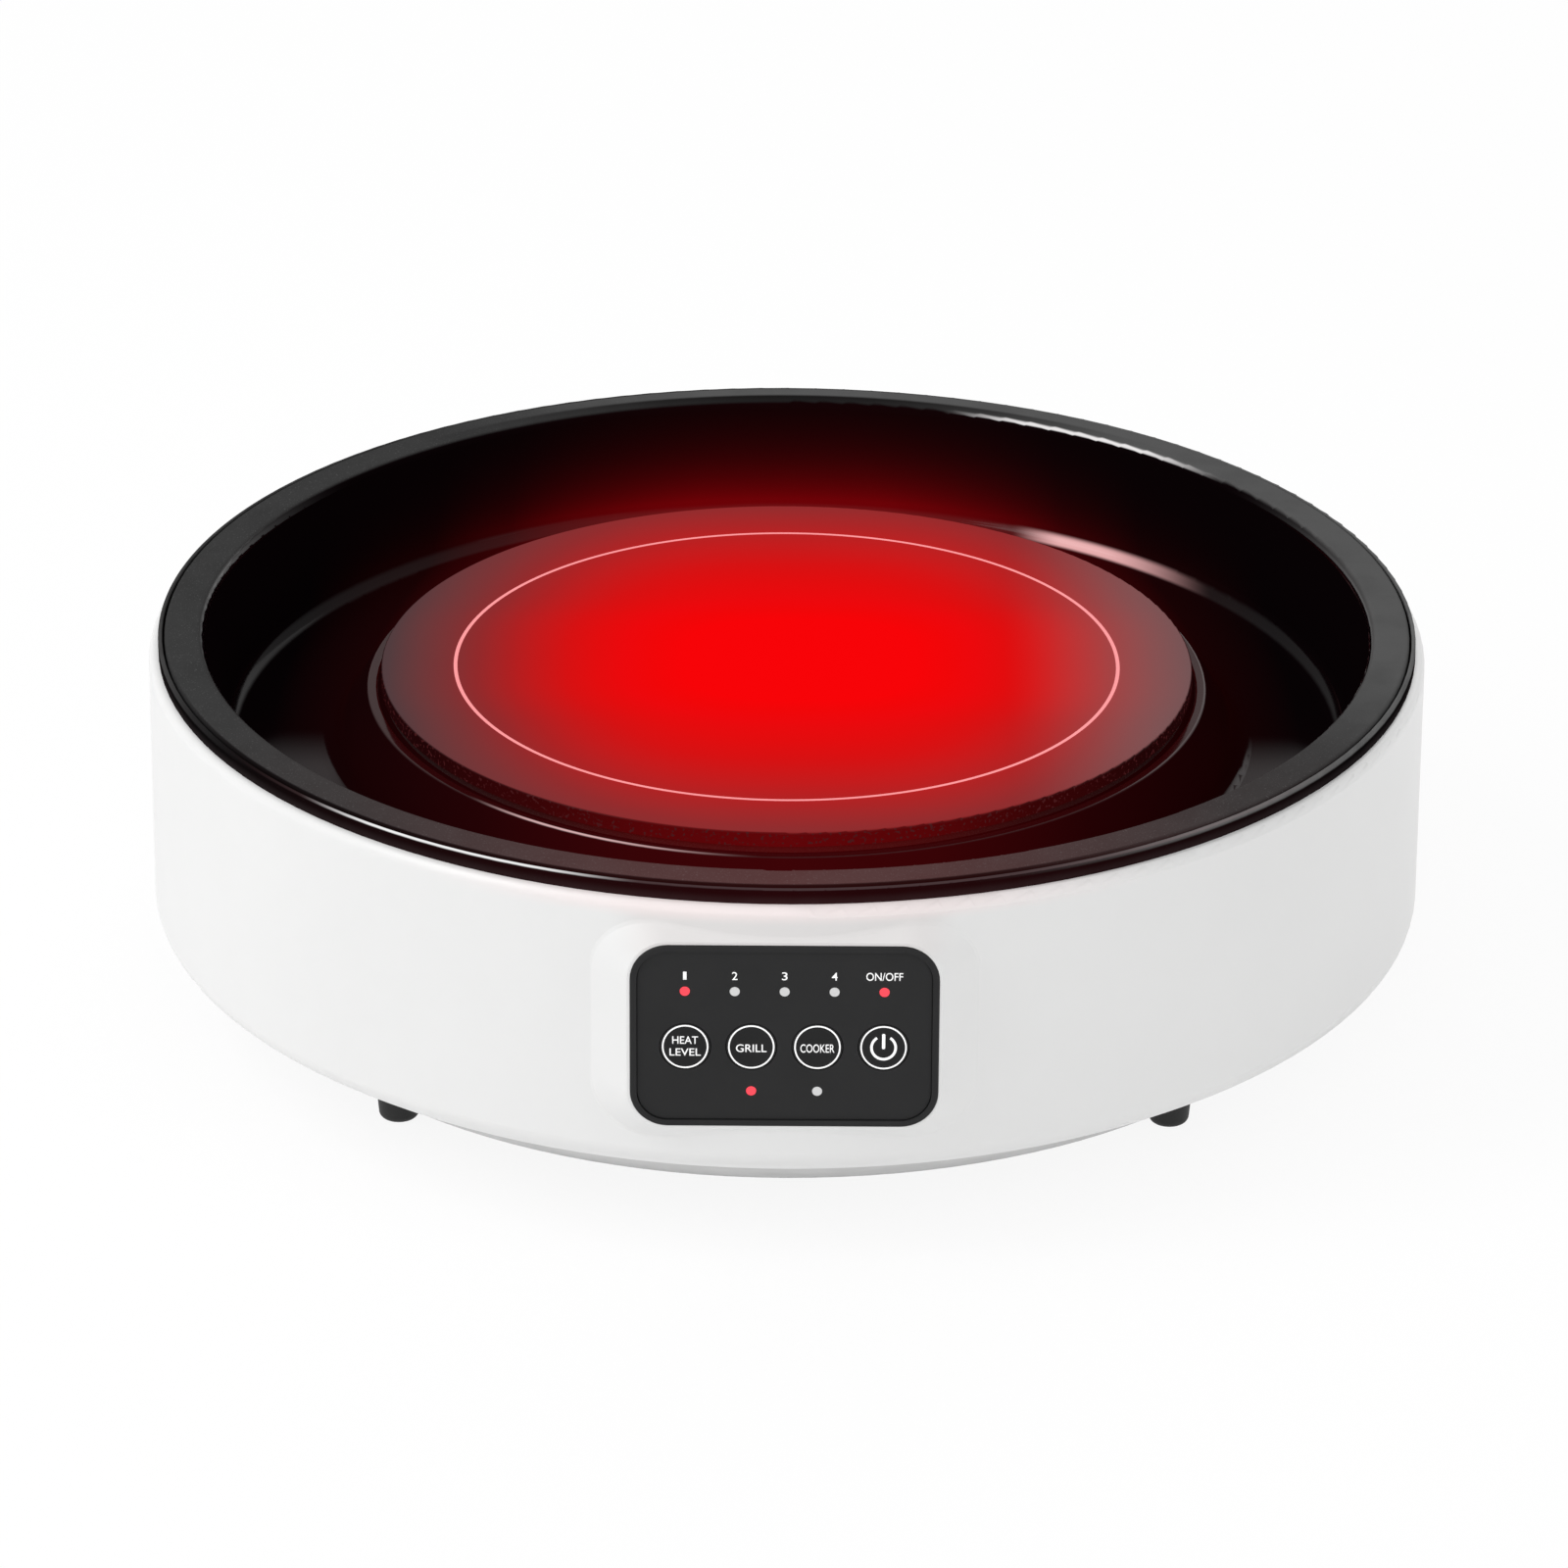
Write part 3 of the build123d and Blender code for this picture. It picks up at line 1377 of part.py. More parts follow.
def lead(points):
    """Round insulated lead along straight runs joined by arcs."""
    with BuildPart() as wire:
        with BuildLine() as route:
            FilletPolyline(*points, radius=lead_bend)
        with BuildSketch(Plane(origin=route.line @ 0, z_dir=route.line % 0)):
            Circle(lead_r)
        sweep(path=route.line)
    return wire


# Leads from the heater and the limiter down to the power board
lead_drop_r = shield_r + lead_bend
heater_tip_y = pad_y + block_d + blade_l
limiter_tip_y = -pad_y - limiter_d - blade_l
with BuildPart() as heater_leads:
    for (blade_x, _), end_x in zip(blade_spots, heater_lead_xs):
        rear_lead = lead(
            [
                (blade_x, heater_tip_y, blade_z),
                (blade_x, lead_drop_r, blade_z),
                (end_x, lead_drop_r, lead_end_z),
                (end_x, heater_block_y, lead_end_z),
            ]
        )
        add(rear_lead.part)
    for (blade_x, _), end_x in zip(blade_spots, limiter_lead_xs):
        front_lead = lead(
            [
                (blade_x, limiter_tip_y, blade_z),
                (blade_x, -lead_drop_r, blade_z),
                (end_x, -lead_drop_r, lead_end_z),
                (end_x, limiter_block_y, lead_end_z),
            ]
        )
        add(front_lead.part)
write(heater_leads, "heater_leads")

# Ribbon cable between the boards, with a header at each end, and a plug for the fan
cable_x = pair_x + pair_w / 2 + part_gap + header_w / 2
cable_z = panel_z - cable_drop
cable_drop_y = -board_back + header_d + cable_slack
power_header_y = board_front + header_d / 2 + small_edge
fan_plug_x = board_left + header_d / 2 + small_edge
fan_plug_y = power_y
with BuildPart() as board_headers:
    with BuildSketch(front_plane(board_back)):
        with Locations((cable_x, cable_z - panel_z)):
            Rectangle(header_w, header_h)
    extrude(amount=-header_d)
    with BuildSketch(Plane.XY.offset(deck_z)):
        with Locations((cable_x, power_header_y)):
            Rectangle(header_w, header_d)
        with Locations((fan_plug_x, fan_plug_y)):
            Rectangle(header_d, header_w / 2)
    extrude(amount=header_h)
write(board_headers, "board_headers")

with BuildPart() as control_ribbon:
    with BuildLine() as cable_route:
        FilletPolyline(
            (cable_x, -board_back + header_d, cable_z),
            (cable_x, cable_drop_y, cable_z),
            (cable_x, cable_drop_y + cable_bend, deck_z + header_h / 2),
            (cable_x, power_header_y - header_d / 2, deck_z + header_h / 2),
            radius=cable_bend,
        )
    with BuildSketch(Plane(origin=cable_route.line @ 0, x_dir=(1, 0, 0), z_dir=(0, 1, 0))):
        Rectangle(ribbon_cable_w, ribbon_cable_t)
    sweep(path=cable_route.line)
write(control_ribbon, "control_ribbon")

# Fan lead from the frame to a plug on the board
fan_side = fan_x + fan_w / 2
fan_lead_z = fan_z + fan_flange_t / 2
fan_lead_y = fan_y - fan_w / 4
with BuildPart() as fan_lead:
    fan_lead_x = (fan_side + fan_plug_x - header_d / 2) / 2
    with BuildLine() as fan_route:
        FilletPolyline(
            (fan_side, fan_lead_y, fan_lead_z),
            (fan_lead_x, fan_lead_y, fan_lead_z),
            (fan_lead_x, fan_plug_y, deck_z + header_h / 2),
            (fan_plug_x - header_d / 2, fan_plug_y, deck_z + header_h / 2),
            radius=fan_lead_bend,
        )
    with BuildSketch(Plane.YZ.offset(fan_side)):
        with Locations((fan_lead_y, fan_lead_z)):
            Circle(lead_r)
    sweep(path=fan_route.line)
write(fan_lead, "fan_lead")
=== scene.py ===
from math import pi, radians, sin

import bpy
from mathutils import Matrix, Vector


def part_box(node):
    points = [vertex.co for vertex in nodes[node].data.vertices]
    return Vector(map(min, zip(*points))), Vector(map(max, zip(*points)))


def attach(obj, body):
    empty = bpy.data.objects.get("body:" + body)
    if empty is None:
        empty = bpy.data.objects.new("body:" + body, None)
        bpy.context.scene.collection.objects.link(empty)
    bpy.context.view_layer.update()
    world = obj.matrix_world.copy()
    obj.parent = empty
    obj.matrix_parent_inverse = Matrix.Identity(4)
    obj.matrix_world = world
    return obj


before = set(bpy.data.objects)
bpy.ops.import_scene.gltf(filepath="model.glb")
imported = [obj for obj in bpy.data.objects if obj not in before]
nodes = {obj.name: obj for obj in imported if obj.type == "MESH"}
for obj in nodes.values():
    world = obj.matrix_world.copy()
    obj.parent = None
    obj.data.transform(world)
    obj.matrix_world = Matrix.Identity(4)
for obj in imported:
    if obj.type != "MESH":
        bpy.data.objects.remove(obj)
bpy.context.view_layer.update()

scene = bpy.context.scene
print("frame loaded with", len(nodes), "parts")

# where the camera stood, and the plain studio round the object
cameraSetup = {
    "place": (0.0, -2.069, 1.0039),
    "tilt": 65.41,
    "roll": 0.35,
    "lens": 191.25,
    "sensor": 36,
    "shiftX": -0.00125,
    "farEnd": 60,
}
studio = {
    "floorSize": 14.0,
    "floorGrey": 0.95,
    "floorShadowShare": 0.10,  # how much of the real shading shows on the white floor
    "worldForDiffuse": 0.67,
    "worldForCamera": 1.0,
    "lampsAimAt": (0, 0, 0.06),
}
lamps = {
    "keyLeft": {"place": (-1.9, -0.9, 1.75), "size": (1.1, 1.1), "watts": 15.0},
    "glintStrip": {"place": (-1.32, -0.24, 1.97), "size": (0.95, 0.50), "watts": 10.2},
    "frontFill": {"place": (-0.3, -3.0, 1.2), "size": (1.8, 1.8), "watts": 6.8},
    "rightFill": {"place": (2.1, -1.5, 1.1), "size": (1.6, 1.6), "watts": 6.2},
    "rightRearSheen": {"place": (1.1, 2.6, 1.35), "size": (1.6, 1.6), "watts": 10.6},
}


def deselectAll():
    if bpy.context.object and bpy.context.object.mode != "OBJECT":
        bpy.ops.object.mode_set(mode="OBJECT")
    bpy.ops.object.select_all(action="DESELECT")


def makeCamera():
    deselectAll()
    bpy.ops.object.camera_add(location=cameraSetup["place"])
    camera = bpy.context.object
    camera.name = "photoCamera"
    tilt = Matrix.Rotation(radians(cameraSetup["tilt"]), 4, "X")
    roll = Matrix.Rotation(radians(cameraSetup["roll"]), 4, "Z")
    camera.rotation_euler = (tilt @ roll).to_euler()
    camera.data.lens = cameraSetup["lens"]
    camera.data.sensor_width = cameraSetup["sensor"]
    camera.data.shift_x = cameraSetup["shiftX"]
    camera.data.clip_end = cameraSetup["farEnd"]
    scene.camera = camera


def makeLamp(name, look):
    deselectAll()
    bpy.ops.object.light_add(type="AREA", location=look["place"])
    lamp = bpy.context.object
    lamp.name = name
    lamp.data.shape = "RECTANGLE"
    lamp.data.size, lamp.data.size_y = look["size"]
    lamp.data.energy = look["watts"]
    aim = Vector(studio["lampsAimAt"]) - lamp.location
    lamp.rotation_euler = aim.to_track_quat("-Z", "Y").to_euler()


def addNode(tree, kind, **settings):
    node = tree.nodes.new(kind)
    for key, value in settings.items():
        setattr(node, key, value)
    return node


# a number or colour is set on the socket, anything else is linked to it
def plug(tree, value, socket):
    if isinstance(value, (int, float)):
        socket.default_value = value
    elif isinstance(value, (tuple, list)):
        opaque = (1,) if len(value) == 3 and len(socket.default_value) == 4 else ()
        socket.default_value = tuple(value) + opaque
    else:
        tree.links.new(value, socket)


def maths(tree, operation, a, b=0.0, clamp=False):
    node = addNode(tree, "ShaderNodeMath", operation=operation, use_clamp=clamp)
    plug(tree, a, node.inputs[0])
    plug(tree, b, node.inputs[1])
    return node.outputs[0]


def times(tree, a, b, clamp=False):
    return maths(tree, "MULTIPLY", a, b, clamp)


# what is left of 1 when a share is taken away
def leftOver(tree, share):
    return maths(tree, "SUBTRACT", 1.0, share)


# white for the camera and for what gloss and glass show, real light for the rest
def seenDirectly(tree):
    path = tree.nodes.new("ShaderNodeLightPath")
    seen = maths(tree, "ADD", path.outputs["Is Camera Ray"], path.outputs["Is Glossy Ray"], clamp=True)
    return maths(tree, "ADD", seen, path.outputs["Is Transmission Ray"], clamp=True)


def newMaterial(name):
    material = bpy.data.materials.new(name)
    material.use_nodes = True
    tree = material.node_tree
    tree.nodes.clear()
    output = tree.nodes.new("ShaderNodeOutputMaterial")
    return material, tree, output


def blendShaders(tree, share, first, second, output):
    blend = tree.nodes.new("ShaderNodeMixShader")
    plug(tree, share, blend.inputs["Fac"])
    tree.links.new(first.outputs[0], blend.inputs[1])
    tree.links.new(second.outputs[0], blend.inputs[2])
    tree.links.new(blend.outputs[0], output.inputs["Surface"])


def makeFloor():
    deselectAll()
    bpy.ops.mesh.primitive_plane_add(size=studio["floorSize"], location=(0, 0, 0))
    floor = bpy.context.object
    floor.name = "studioFloor"
    material, tree, output = newMaterial("paleFloor")
    shaded = tree.nodes.new("ShaderNodeBsdfDiffuse")
    plug(tree, (studio["floorGrey"],) * 3, shaded.inputs["Color"])
    white = tree.nodes.new("ShaderNodeEmission")
    white.inputs["Strength"].default_value = 1.0
    share = times(tree, seenDirectly(tree), 1 - studio["floorShadowShare"])
    blendShaders(tree, share, shaded, white, output)
    floor.data.materials.append(material)


def makeWorld():
    world = bpy.data.worlds.new("studioWorld")
    scene.world = world
    world.use_nodes = True
    tree = world.node_tree
    tree.nodes.clear()
    output = tree.nodes.new("ShaderNodeOutputWorld")
    soft = tree.nodes.new("ShaderNodeBackground")
    soft.inputs["Strength"].default_value = studio["worldForDiffuse"]
    white = tree.nodes.new("ShaderNodeBackground")
    white.inputs["Strength"].default_value = studio["worldForCamera"]
    for light in (soft, white):
        plug(tree, (1.0, 1.0, 1.0), light.inputs["Color"])
    blendShaders(tree, seenDirectly(tree), soft, white, output)


scene.view_settings.view_transform = "Standard"
makeCamera()
makeWorld()
makeFloor()
for lampName, lampLook in lamps.items():
    makeLamp(lampName, lampLook)
print("camera, lamps, floor and world are in place")


def mixColour(tree, share, a, b):
    node = addNode(tree, "ShaderNodeMix", data_type="RGBA")
    first, second = [socket for socket in node.inputs if socket.type == "RGBA"]
    plug(tree, share, node.inputs["Factor"])
    plug(tree, a, first)
    plug(tree, b, second)
    return [socket for socket in node.outputs if socket.type == "RGBA"][0]


def stepBetween(tree, value, low, high):
    node = addNode(tree, "ShaderNodeMapRange", interpolation_type="SMOOTHSTEP")
    plug(tree, value, node.inputs["Value"])
    node.inputs["From Min"].default_value = low
    node.inputs["From Max"].default_value = high
    return node.outputs["Result"]


# 1 between the two middle numbers, falling to 0 at the outer ones
def band(tree, value, start, full, fade, end):
    rise = stepBetween(tree, value, start, full)
    fall = stepBetween(tree, value, fade, end)
    return maths(tree, "SUBTRACT", rise, fall, clamp=True)


def colourStops(tree, value, reach, stops):
    node = addNode(tree, "ShaderNodeValToRGB")
    ramp = node.color_ramp
    ramp.interpolation = "LINEAR"
    while len(ramp.elements) < len(stops):
        ramp.elements.new(0.5)
    for element, (place, colour) in zip(ramp.elements, stops):
        element.position = place / reach
        element.color = tuple(colour) + (1,)
    plug(tree, maths(tree, "DIVIDE", value, reach, clamp=True), node.inputs["Fac"])
    return node.outputs["Color"]


def newGroup(name, inputs, outputs):
    group = bpy.data.node_groups.new(name, "ShaderNodeTree")
    kinds = {"value": "NodeSocketFloat", "colour": "NodeSocketColor"}
    for label, kind, default in inputs:
        socket = group.interface.new_socket(name=label, in_out="INPUT", socket_type=kinds[kind])
        socket.default_value = default
    for label, kind in outputs:
        group.interface.new_socket(name=label, in_out="OUTPUT", socket_type=kinds[kind])
    entry = group.nodes.new("NodeGroupInput")
    leave = group.nodes.new("NodeGroupOutput")
    return group, entry, leave


def cloudIn(group, scale, detail):
    place = group.nodes.new("ShaderNodeTexCoord")
    cloud = addNode(group, "ShaderNodeTexNoise", noise_dimensions="3D")
    cloud.inputs["Detail"].default_value = detail
    group.links.new(place.outputs["Object"], cloud.inputs["Vector"])
    plug(group, scale, cloud.inputs["Scale"])
    return cloud.outputs["Fac"]


# detail and contrast of the shared textures
textureSetup = {
    "fineDetail": 3.0,
    "coarseDetail": 4.0,
    "coarseShare": 0.02,
    "driftDetail": 5.0,
    "driftBetween": (0.35, 0.75),
    "edgeBetween": (0.51, 0.6),
    "speckDetail": 1.0,
    "speckContrast": 12.0,
}
grey, darkGrey, paleGrey = (0.5, 0.5, 0.5, 1), (0.4, 0.4, 0.4, 1), (0.7, 0.7, 0.7, 1)


# the fine texture of a mould, and patches that are a little smoother or duller
def makeGrainGroup():
    group, entry, leave = newGroup(
        "mouldedGrain",
        [("Scale", "value", 900.0), ("Roughness", "value", 0.4), ("Spread", "value", 0.1)],
        [("Roughness", "value"), ("Height", "value")],
    )
    fine = cloudIn(group, entry.outputs["Scale"], textureSetup["fineDetail"])
    coarseScale = times(group, entry.outputs["Scale"], textureSetup["coarseShare"])
    coarse = cloudIn(group, coarseScale, textureSetup["coarseDetail"])
    swing = times(group, maths(group, "SUBTRACT", coarse, 0.5), entry.outputs["Spread"])
    roughness = maths(group, "ADD", entry.outputs["Roughness"], swing, clamp=True)
    group.links.new(roughness, leave.inputs["Roughness"])
    group.links.new(fine, leave.inputs["Height"])
    return group


def makeDriftGroup():
    group, entry, leave = newGroup(
        "toneDrift",
        [("Colour", "colour", grey), ("Drifted", "colour", darkGrey), ("Scale", "value", 20.0)],
        [("Colour", "colour")],
    )
    cloud = cloudIn(group, entry.outputs["Scale"], textureSetup["driftDetail"])
    share = stepBetween(group, cloud, *textureSetup["driftBetween"])
    colour = mixColour(group, share, entry.outputs["Colour"], entry.outputs["Drifted"])
    group.links.new(colour, leave.inputs["Colour"])
    return group


def makeRubGroup():
    group, entry, leave = newGroup(
        "edgeRub",
        [("Colour", "colour", grey), ("Rubbed", "colour", paleGrey), ("Amount", "value", 0.3)],
        [("Colour", "colour")],
    )
    shape = group.nodes.new("ShaderNodeNewGeometry")
    edge = stepBetween(group, shape.outputs["Pointiness"], *textureSetup["edgeBetween"])
    share = times(group, edge, entry.outputs["Amount"], clamp=True)
    colour = mixColour(group, share, entry.outputs["Colour"], entry.outputs["Rubbed"])
    group.links.new(colour, leave.inputs["Colour"])
    return group


def makeSpeckGroup():
    group, entry, leave = newGroup(
        "fineSpecks",
        [("Scale", "value", 1500.0), ("Threshold", "value", 0.62)],
        [("Mask", "value")],
    )
    cloud = cloudIn(group, entry.outputs["Scale"], textureSetup["speckDetail"])
    over = maths(group, "SUBTRACT", cloud, entry.outputs["Threshold"])
    group.links.new(times(group, over, textureSetup["speckContrast"], clamp=True), leave.inputs["Mask"])
    return group


# where a point lies: from the upright axis, to the right, to the rear and above the table, in metres
def makeAxisGroup():
    group, entry, leave = newGroup(
        "fromAxis",
        [("Depth Share", "value", 1.0)],
        [("Radius", "value"), ("Across", "value"), ("Depth", "value"), ("Height", "value")],
    )
    place = group.nodes.new("ShaderNodeTexCoord")
    split = group.nodes.new("ShaderNodeSeparateXYZ")
    group.links.new(place.outputs["Object"], split.inputs[0])
    deep = times(group, split.outputs["Y"], entry.outputs["Depth Share"])
    wide = times(group, split.outputs["X"], split.outputs["X"])
    total = maths(group, "ADD", wide, times(group, deep, deep))
    group.links.new(maths(group, "SQRT", total), leave.inputs["Radius"])
    for socket, label in (("X", "Across"), ("Y", "Depth"), ("Z", "Height")):
        group.links.new(split.outputs[socket], leave.inputs[label])
    return group


grainGroup = makeGrainGroup()
driftGroup = makeDriftGroup()
rubGroup = makeRubGroup()
speckGroup = makeSpeckGroup()
axisGroup = makeAxisGroup()


def useGroup(tree, group, **values):
    node = tree.nodes.new("ShaderNodeGroup")
    node.node_tree = group
    for label, value in values.items():
        plug(tree, value, node.inputs[label.replace("_", " ")])
    return node


def principled(tree, output, **values):
    shader = tree.nodes.new("ShaderNodeBsdfPrincipled")
    for label, value in values.items():
        plug(tree, value, shader.inputs[label.replace("_", " ")])
    tree.links.new(shader.outputs[0], output.inputs["Surface"])


def bump(tree, height, strength, distance):
    node = tree.nodes.new("ShaderNodeBump")
    node.inputs["Strength"].default_value = strength
    node.inputs["Distance"].default_value = distance
    tree.links.new(height, node.inputs["Height"])
    return node.outputs["Normal"]


# how far a point lies towards the front: 0 before the first depth, 1 past the second
def frontShare(tree, spot, start, full):
    return stepBetween(tree, times(tree, spot.outputs["Depth"], -1.0), start, full)


# grain is the texture's scale, the roughness and how much it varies
def grainOf(tree, look):
    scale, roughness, spread = look["grain"]
    return useGroup(tree, grainGroup, Scale=scale, Roughness=roughness, Spread=spread)


def speckMask(tree, scale, threshold):
    return useGroup(tree, speckGroup, Scale=scale, Threshold=threshold).outputs["Mask"]


black = (0.0, 0.0, 0.0)
frontHalf = (0.0, 0.02)  # where the rear half gives way to the front one, in metres before the middle

# white body, with painted shade that makes it a little dimmer over the panel, and painted red light from
# the plate on the shoulder above it
shellLook = {
    "colour": (0.80, 0.80, 0.797),
    "drifted": (0.785, 0.785, 0.782),
    "cloud": 14.0,
    "redLightPainted": (0.86, 0.775, 0.77),
    "dimmed": (0.73, 0.712, 0.707),
    "frontDepth": (0.12, 0.16),
    "shoulderHeight": (0.096, 0.100),
    "redLightAside": (0.02, 0.11),
    "paintedShadeHeight": (0.085, 0.091),
    "panelAside": (0.034, 0.045),
    "specular": 0.4,
    "grain": (1400.0, 0.34, 0.08),
    "bump": (0.04, 0.0002),
}


def whiteShellFinish(name, look):
    material, tree, output = newMaterial(name)
    spot = useGroup(tree, axisGroup)
    height, aside = spot.outputs["Height"], maths(tree, "ABSOLUTE", spot.outputs["Across"])
    tone = useGroup(tree, driftGroup, Colour=look["colour"], Drifted=look["drifted"], Scale=look["cloud"])
    atFront = frontShare(tree, spot, *look["frontDepth"])
    # painted shade: the body is darker just above the panel at the front
    paintedShadeOverPanel = times(tree, stepBetween(tree, height, *look["paintedShadeHeight"]), atFront)
    paintedShadeOverPanel = times(tree, paintedShadeOverPanel, leftOver(tree, stepBetween(tree, aside, *look["panelAside"])))
    colour = mixColour(tree, paintedShadeOverPanel, tone.outputs["Colour"], look["dimmed"])
    # painted red light from the glowing plate on the front of the shoulder
    onShoulder = stepBetween(tree, height, *look["shoulderHeight"])
    nearMiddle = leftOver(tree, stepBetween(tree, aside, *look["redLightAside"]))
    redLightShare = times(tree, onShoulder, times(tree, atFront, nearMiddle))
    grain = grainOf(tree, look)
    principled(
        tree,
        output,
        Base_Color=mixColour(tree, redLightShare, colour, look["redLightPainted"]),
        Roughness=grain.outputs["Roughness"],
        Specular_IOR_Level=look["specular"],
        Normal=bump(tree, grain.outputs["Height"], *look["bump"]),
    )
    return material


# glowing plate: distance from the middle in metres, then the colour that it gives off there; the grey in
# the outer stops is a painted reflection
glowLook = {
    "middleAcross": 0.0037,
    "middleDepth": 0.0016,
    "depthShare": 0.59,
    "depthSpread": 0.024,
    "spreadDepth": (0.0, 0.045),
    "roundness": 2.7,
    "reach": 0.125,
    "stops": [
        (0.0000, (0.940, 0.0006, 0.0015)),
        (0.0317, (0.930, 0.0008, 0.0015)),
        (0.0397, (0.880, 0.0015, 0.0018)),
        (0.0477, (0.840, 0.0022, 0.0030)),
        (0.0555, (0.765, 0.0035, 0.0036)),
        (0.0635, (0.670, 0.0055, 0.0056)),
        (0.0715, (0.545, 0.0090, 0.0092)),
        (0.0795, (0.410, 0.0130, 0.0135)),
        (0.0875, (0.285, 0.0195, 0.0205)),
        (0.0955, (0.200, 0.0280, 0.0295)),
        (0.1035, (0.140, 0.0350, 0.0370)),
        (0.1117, (0.078, 0.0400, 0.0430)),
        (0.1250, (0.050, 0.0400, 0.0420)),
    ],
}
plateLook = {
    "skin": (0.0012, 0.0004, 0.0008),
    "paintedSheen": (0.046, 0.047, 0.047),
    "paintedSheenAcross": (0.058, 0.102),
    "sideRadius": (0.1094, 0.1099),
    "sideSpecks": (1100.0, 0.6),
    "coat": 0.05,
    "coatRadius": (0.06, 0.108),
    "coatRoughness": 0.25,
    "grain": (1100.0, 0.3, 0.06),
    "bump": (0.03, 0.0001),
}
# the red given off by the plate's side, also painted on its gasket as red light, by distance to the left or
# right
sideGlowLook = {
    "reach": 0.12,
    "stops": [
        (0.000, (0.115, 0.0016, 0.0024)),
        (0.035, (0.090, 0.0014, 0.0020)),
        (0.065, (0.038, 0.0012, 0.0015)),
        (0.095, (0.014, 0.0012, 0.0014)),
        (0.120, (0.010, 0.0012, 0.0014)),
    ],
    "specks": (0.060, 0.010, 0.011),
}


def sideGlow(tree, spot):
    aside = maths(tree, "ABSOLUTE", spot.outputs["Across"])
    return colourStops(tree, aside, sideGlowLook["reach"], sideGlowLook["stops"])


def plateFinish(name, look, glow):
    material, tree, output = newMaterial(name)
    spot = useGroup(tree, axisGroup)
    across = maths(tree, "SUBTRACT", spot.outputs["Across"], glow["middleAcross"])
    depth = maths(tree, "ABSOLUTE", maths(tree, "SUBTRACT", spot.outputs["Depth"], glow["middleDepth"]))
    spread = times(tree, stepBetween(tree, depth, *glow["spreadDepth"]), glow["depthSpread"])
    deep = maths(tree, "ADD", times(tree, depth, glow["depthShare"]), spread)
    wide = maths(tree, "POWER", maths(tree, "ABSOLUTE", across), glow["roundness"])
    total = maths(tree, "ADD", wide, maths(tree, "POWER", deep, glow["roundness"]))
    distance = maths(tree, "POWER", total, 1 / glow["roundness"])
    given = colourStops(tree, distance, glow["reach"], glow["stops"])
    onSide = stepBetween(tree, spot.outputs["Radius"], *look["sideRadius"])
    specks = speckMask(tree, *look["sideSpecks"])
    speckled = mixColour(tree, specks, sideGlow(tree, spot), sideGlowLook["specks"])
    # painted sheen: the plate's skin turns grey towards its right edge
    paintedSheenShare = stepBetween(tree, spot.outputs["Across"], *look["paintedSheenAcross"])
    skin = mixColour(tree, paintedSheenShare, look["skin"], look["paintedSheen"])
    nearEdge = stepBetween(tree, spot.outputs["Radius"], *look["coatRadius"])
    grain = grainOf(tree, look)
    principled(
        tree,
        output,
        Base_Color=mixColour(tree, onSide, skin, look["skin"]),
        Roughness=grain.outputs["Roughness"],
        Specular_IOR_Level=0.0,
        Emission_Color=mixColour(tree, onSide, given, speckled),
        Emission_Strength=1.0,
        Coat_Weight=times(tree, nearEdge, look["coat"]),
        Coat_Roughness=look["coatRoughness"],
        Normal=bump(tree, grain.outputs["Height"], *look["bump"]),
    )
    return material


# fibre ring under the plate, with some of the plate's red painted on it as light
gasketLook = {
    "fibre": (0.010, 0.008, 0.008),
    "paleFibre": (0.022, 0.016, 0.015),
    "fibreSpecks": (2400.0, 0.55),
    "glowLost": 0.35,
    "specular": 0.1,
    "grain": (1600.0, 0.75, 0.15),
    "bump": (0.3, 0.0002),
}


def gasketFinish(name, look):
    material, tree, output = newMaterial(name)
    spot = useGroup(tree, axisGroup)
    grain = grainOf(tree, look)
    fibres = speckMask(tree, *look["fibreSpecks"])
    principled(
        tree,
        output,
        Base_Color=mixColour(tree, fibres, look["fibre"], look["paleFibre"]),
        Roughness=grain.outputs["Roughness"],
        Specular_IOR_Level=look["specular"],
        Emission_Color=mixColour(tree, look["glowLost"], sideGlow(tree, spot), black),
        Emission_Strength=1.0,
        Normal=bump(tree, grain.outputs["Height"], *look["bump"]),
    )
    return material


# coated basin: near black inside; a satin flange, painted lighter where it faces the light and painted in
# shade at its rear inner edge; a painted dark front rim; gloss and painted highlights on its edges; and
# painted red light from the plate on what faces it
basinLook = {
    "inside": (0.0030, 0.0013, 0.0018),
    "flange": (0.043, 0.043, 0.043),
    "flangeFacingLight": (0.094, 0.094, 0.094),
    "flangeInShade": (0.007, 0.006, 0.006),
    "driftDark": 0.12,
    "cloud": 90.0,
    "speck": (0.09, 0.09, 0.09),
    "flangeSpecks": (2600.0, 0.66),
    "rim": (0.006, 0.005, 0.0052),
    "mouthCoat": 0.75,
    "lowCoat": 0.15,
    "lipCoat": 0.32,
    "floorCoat": 0.26,
    "coatRoughness": 0.12,
    "lipRedLight": (0.030, 0.0010, 0.0012),
    "lipRedLightShare": 0.6,
    "grain": (2200.0, 0.5, 0.12),
    "bump": (0.35, 0.0002),
}
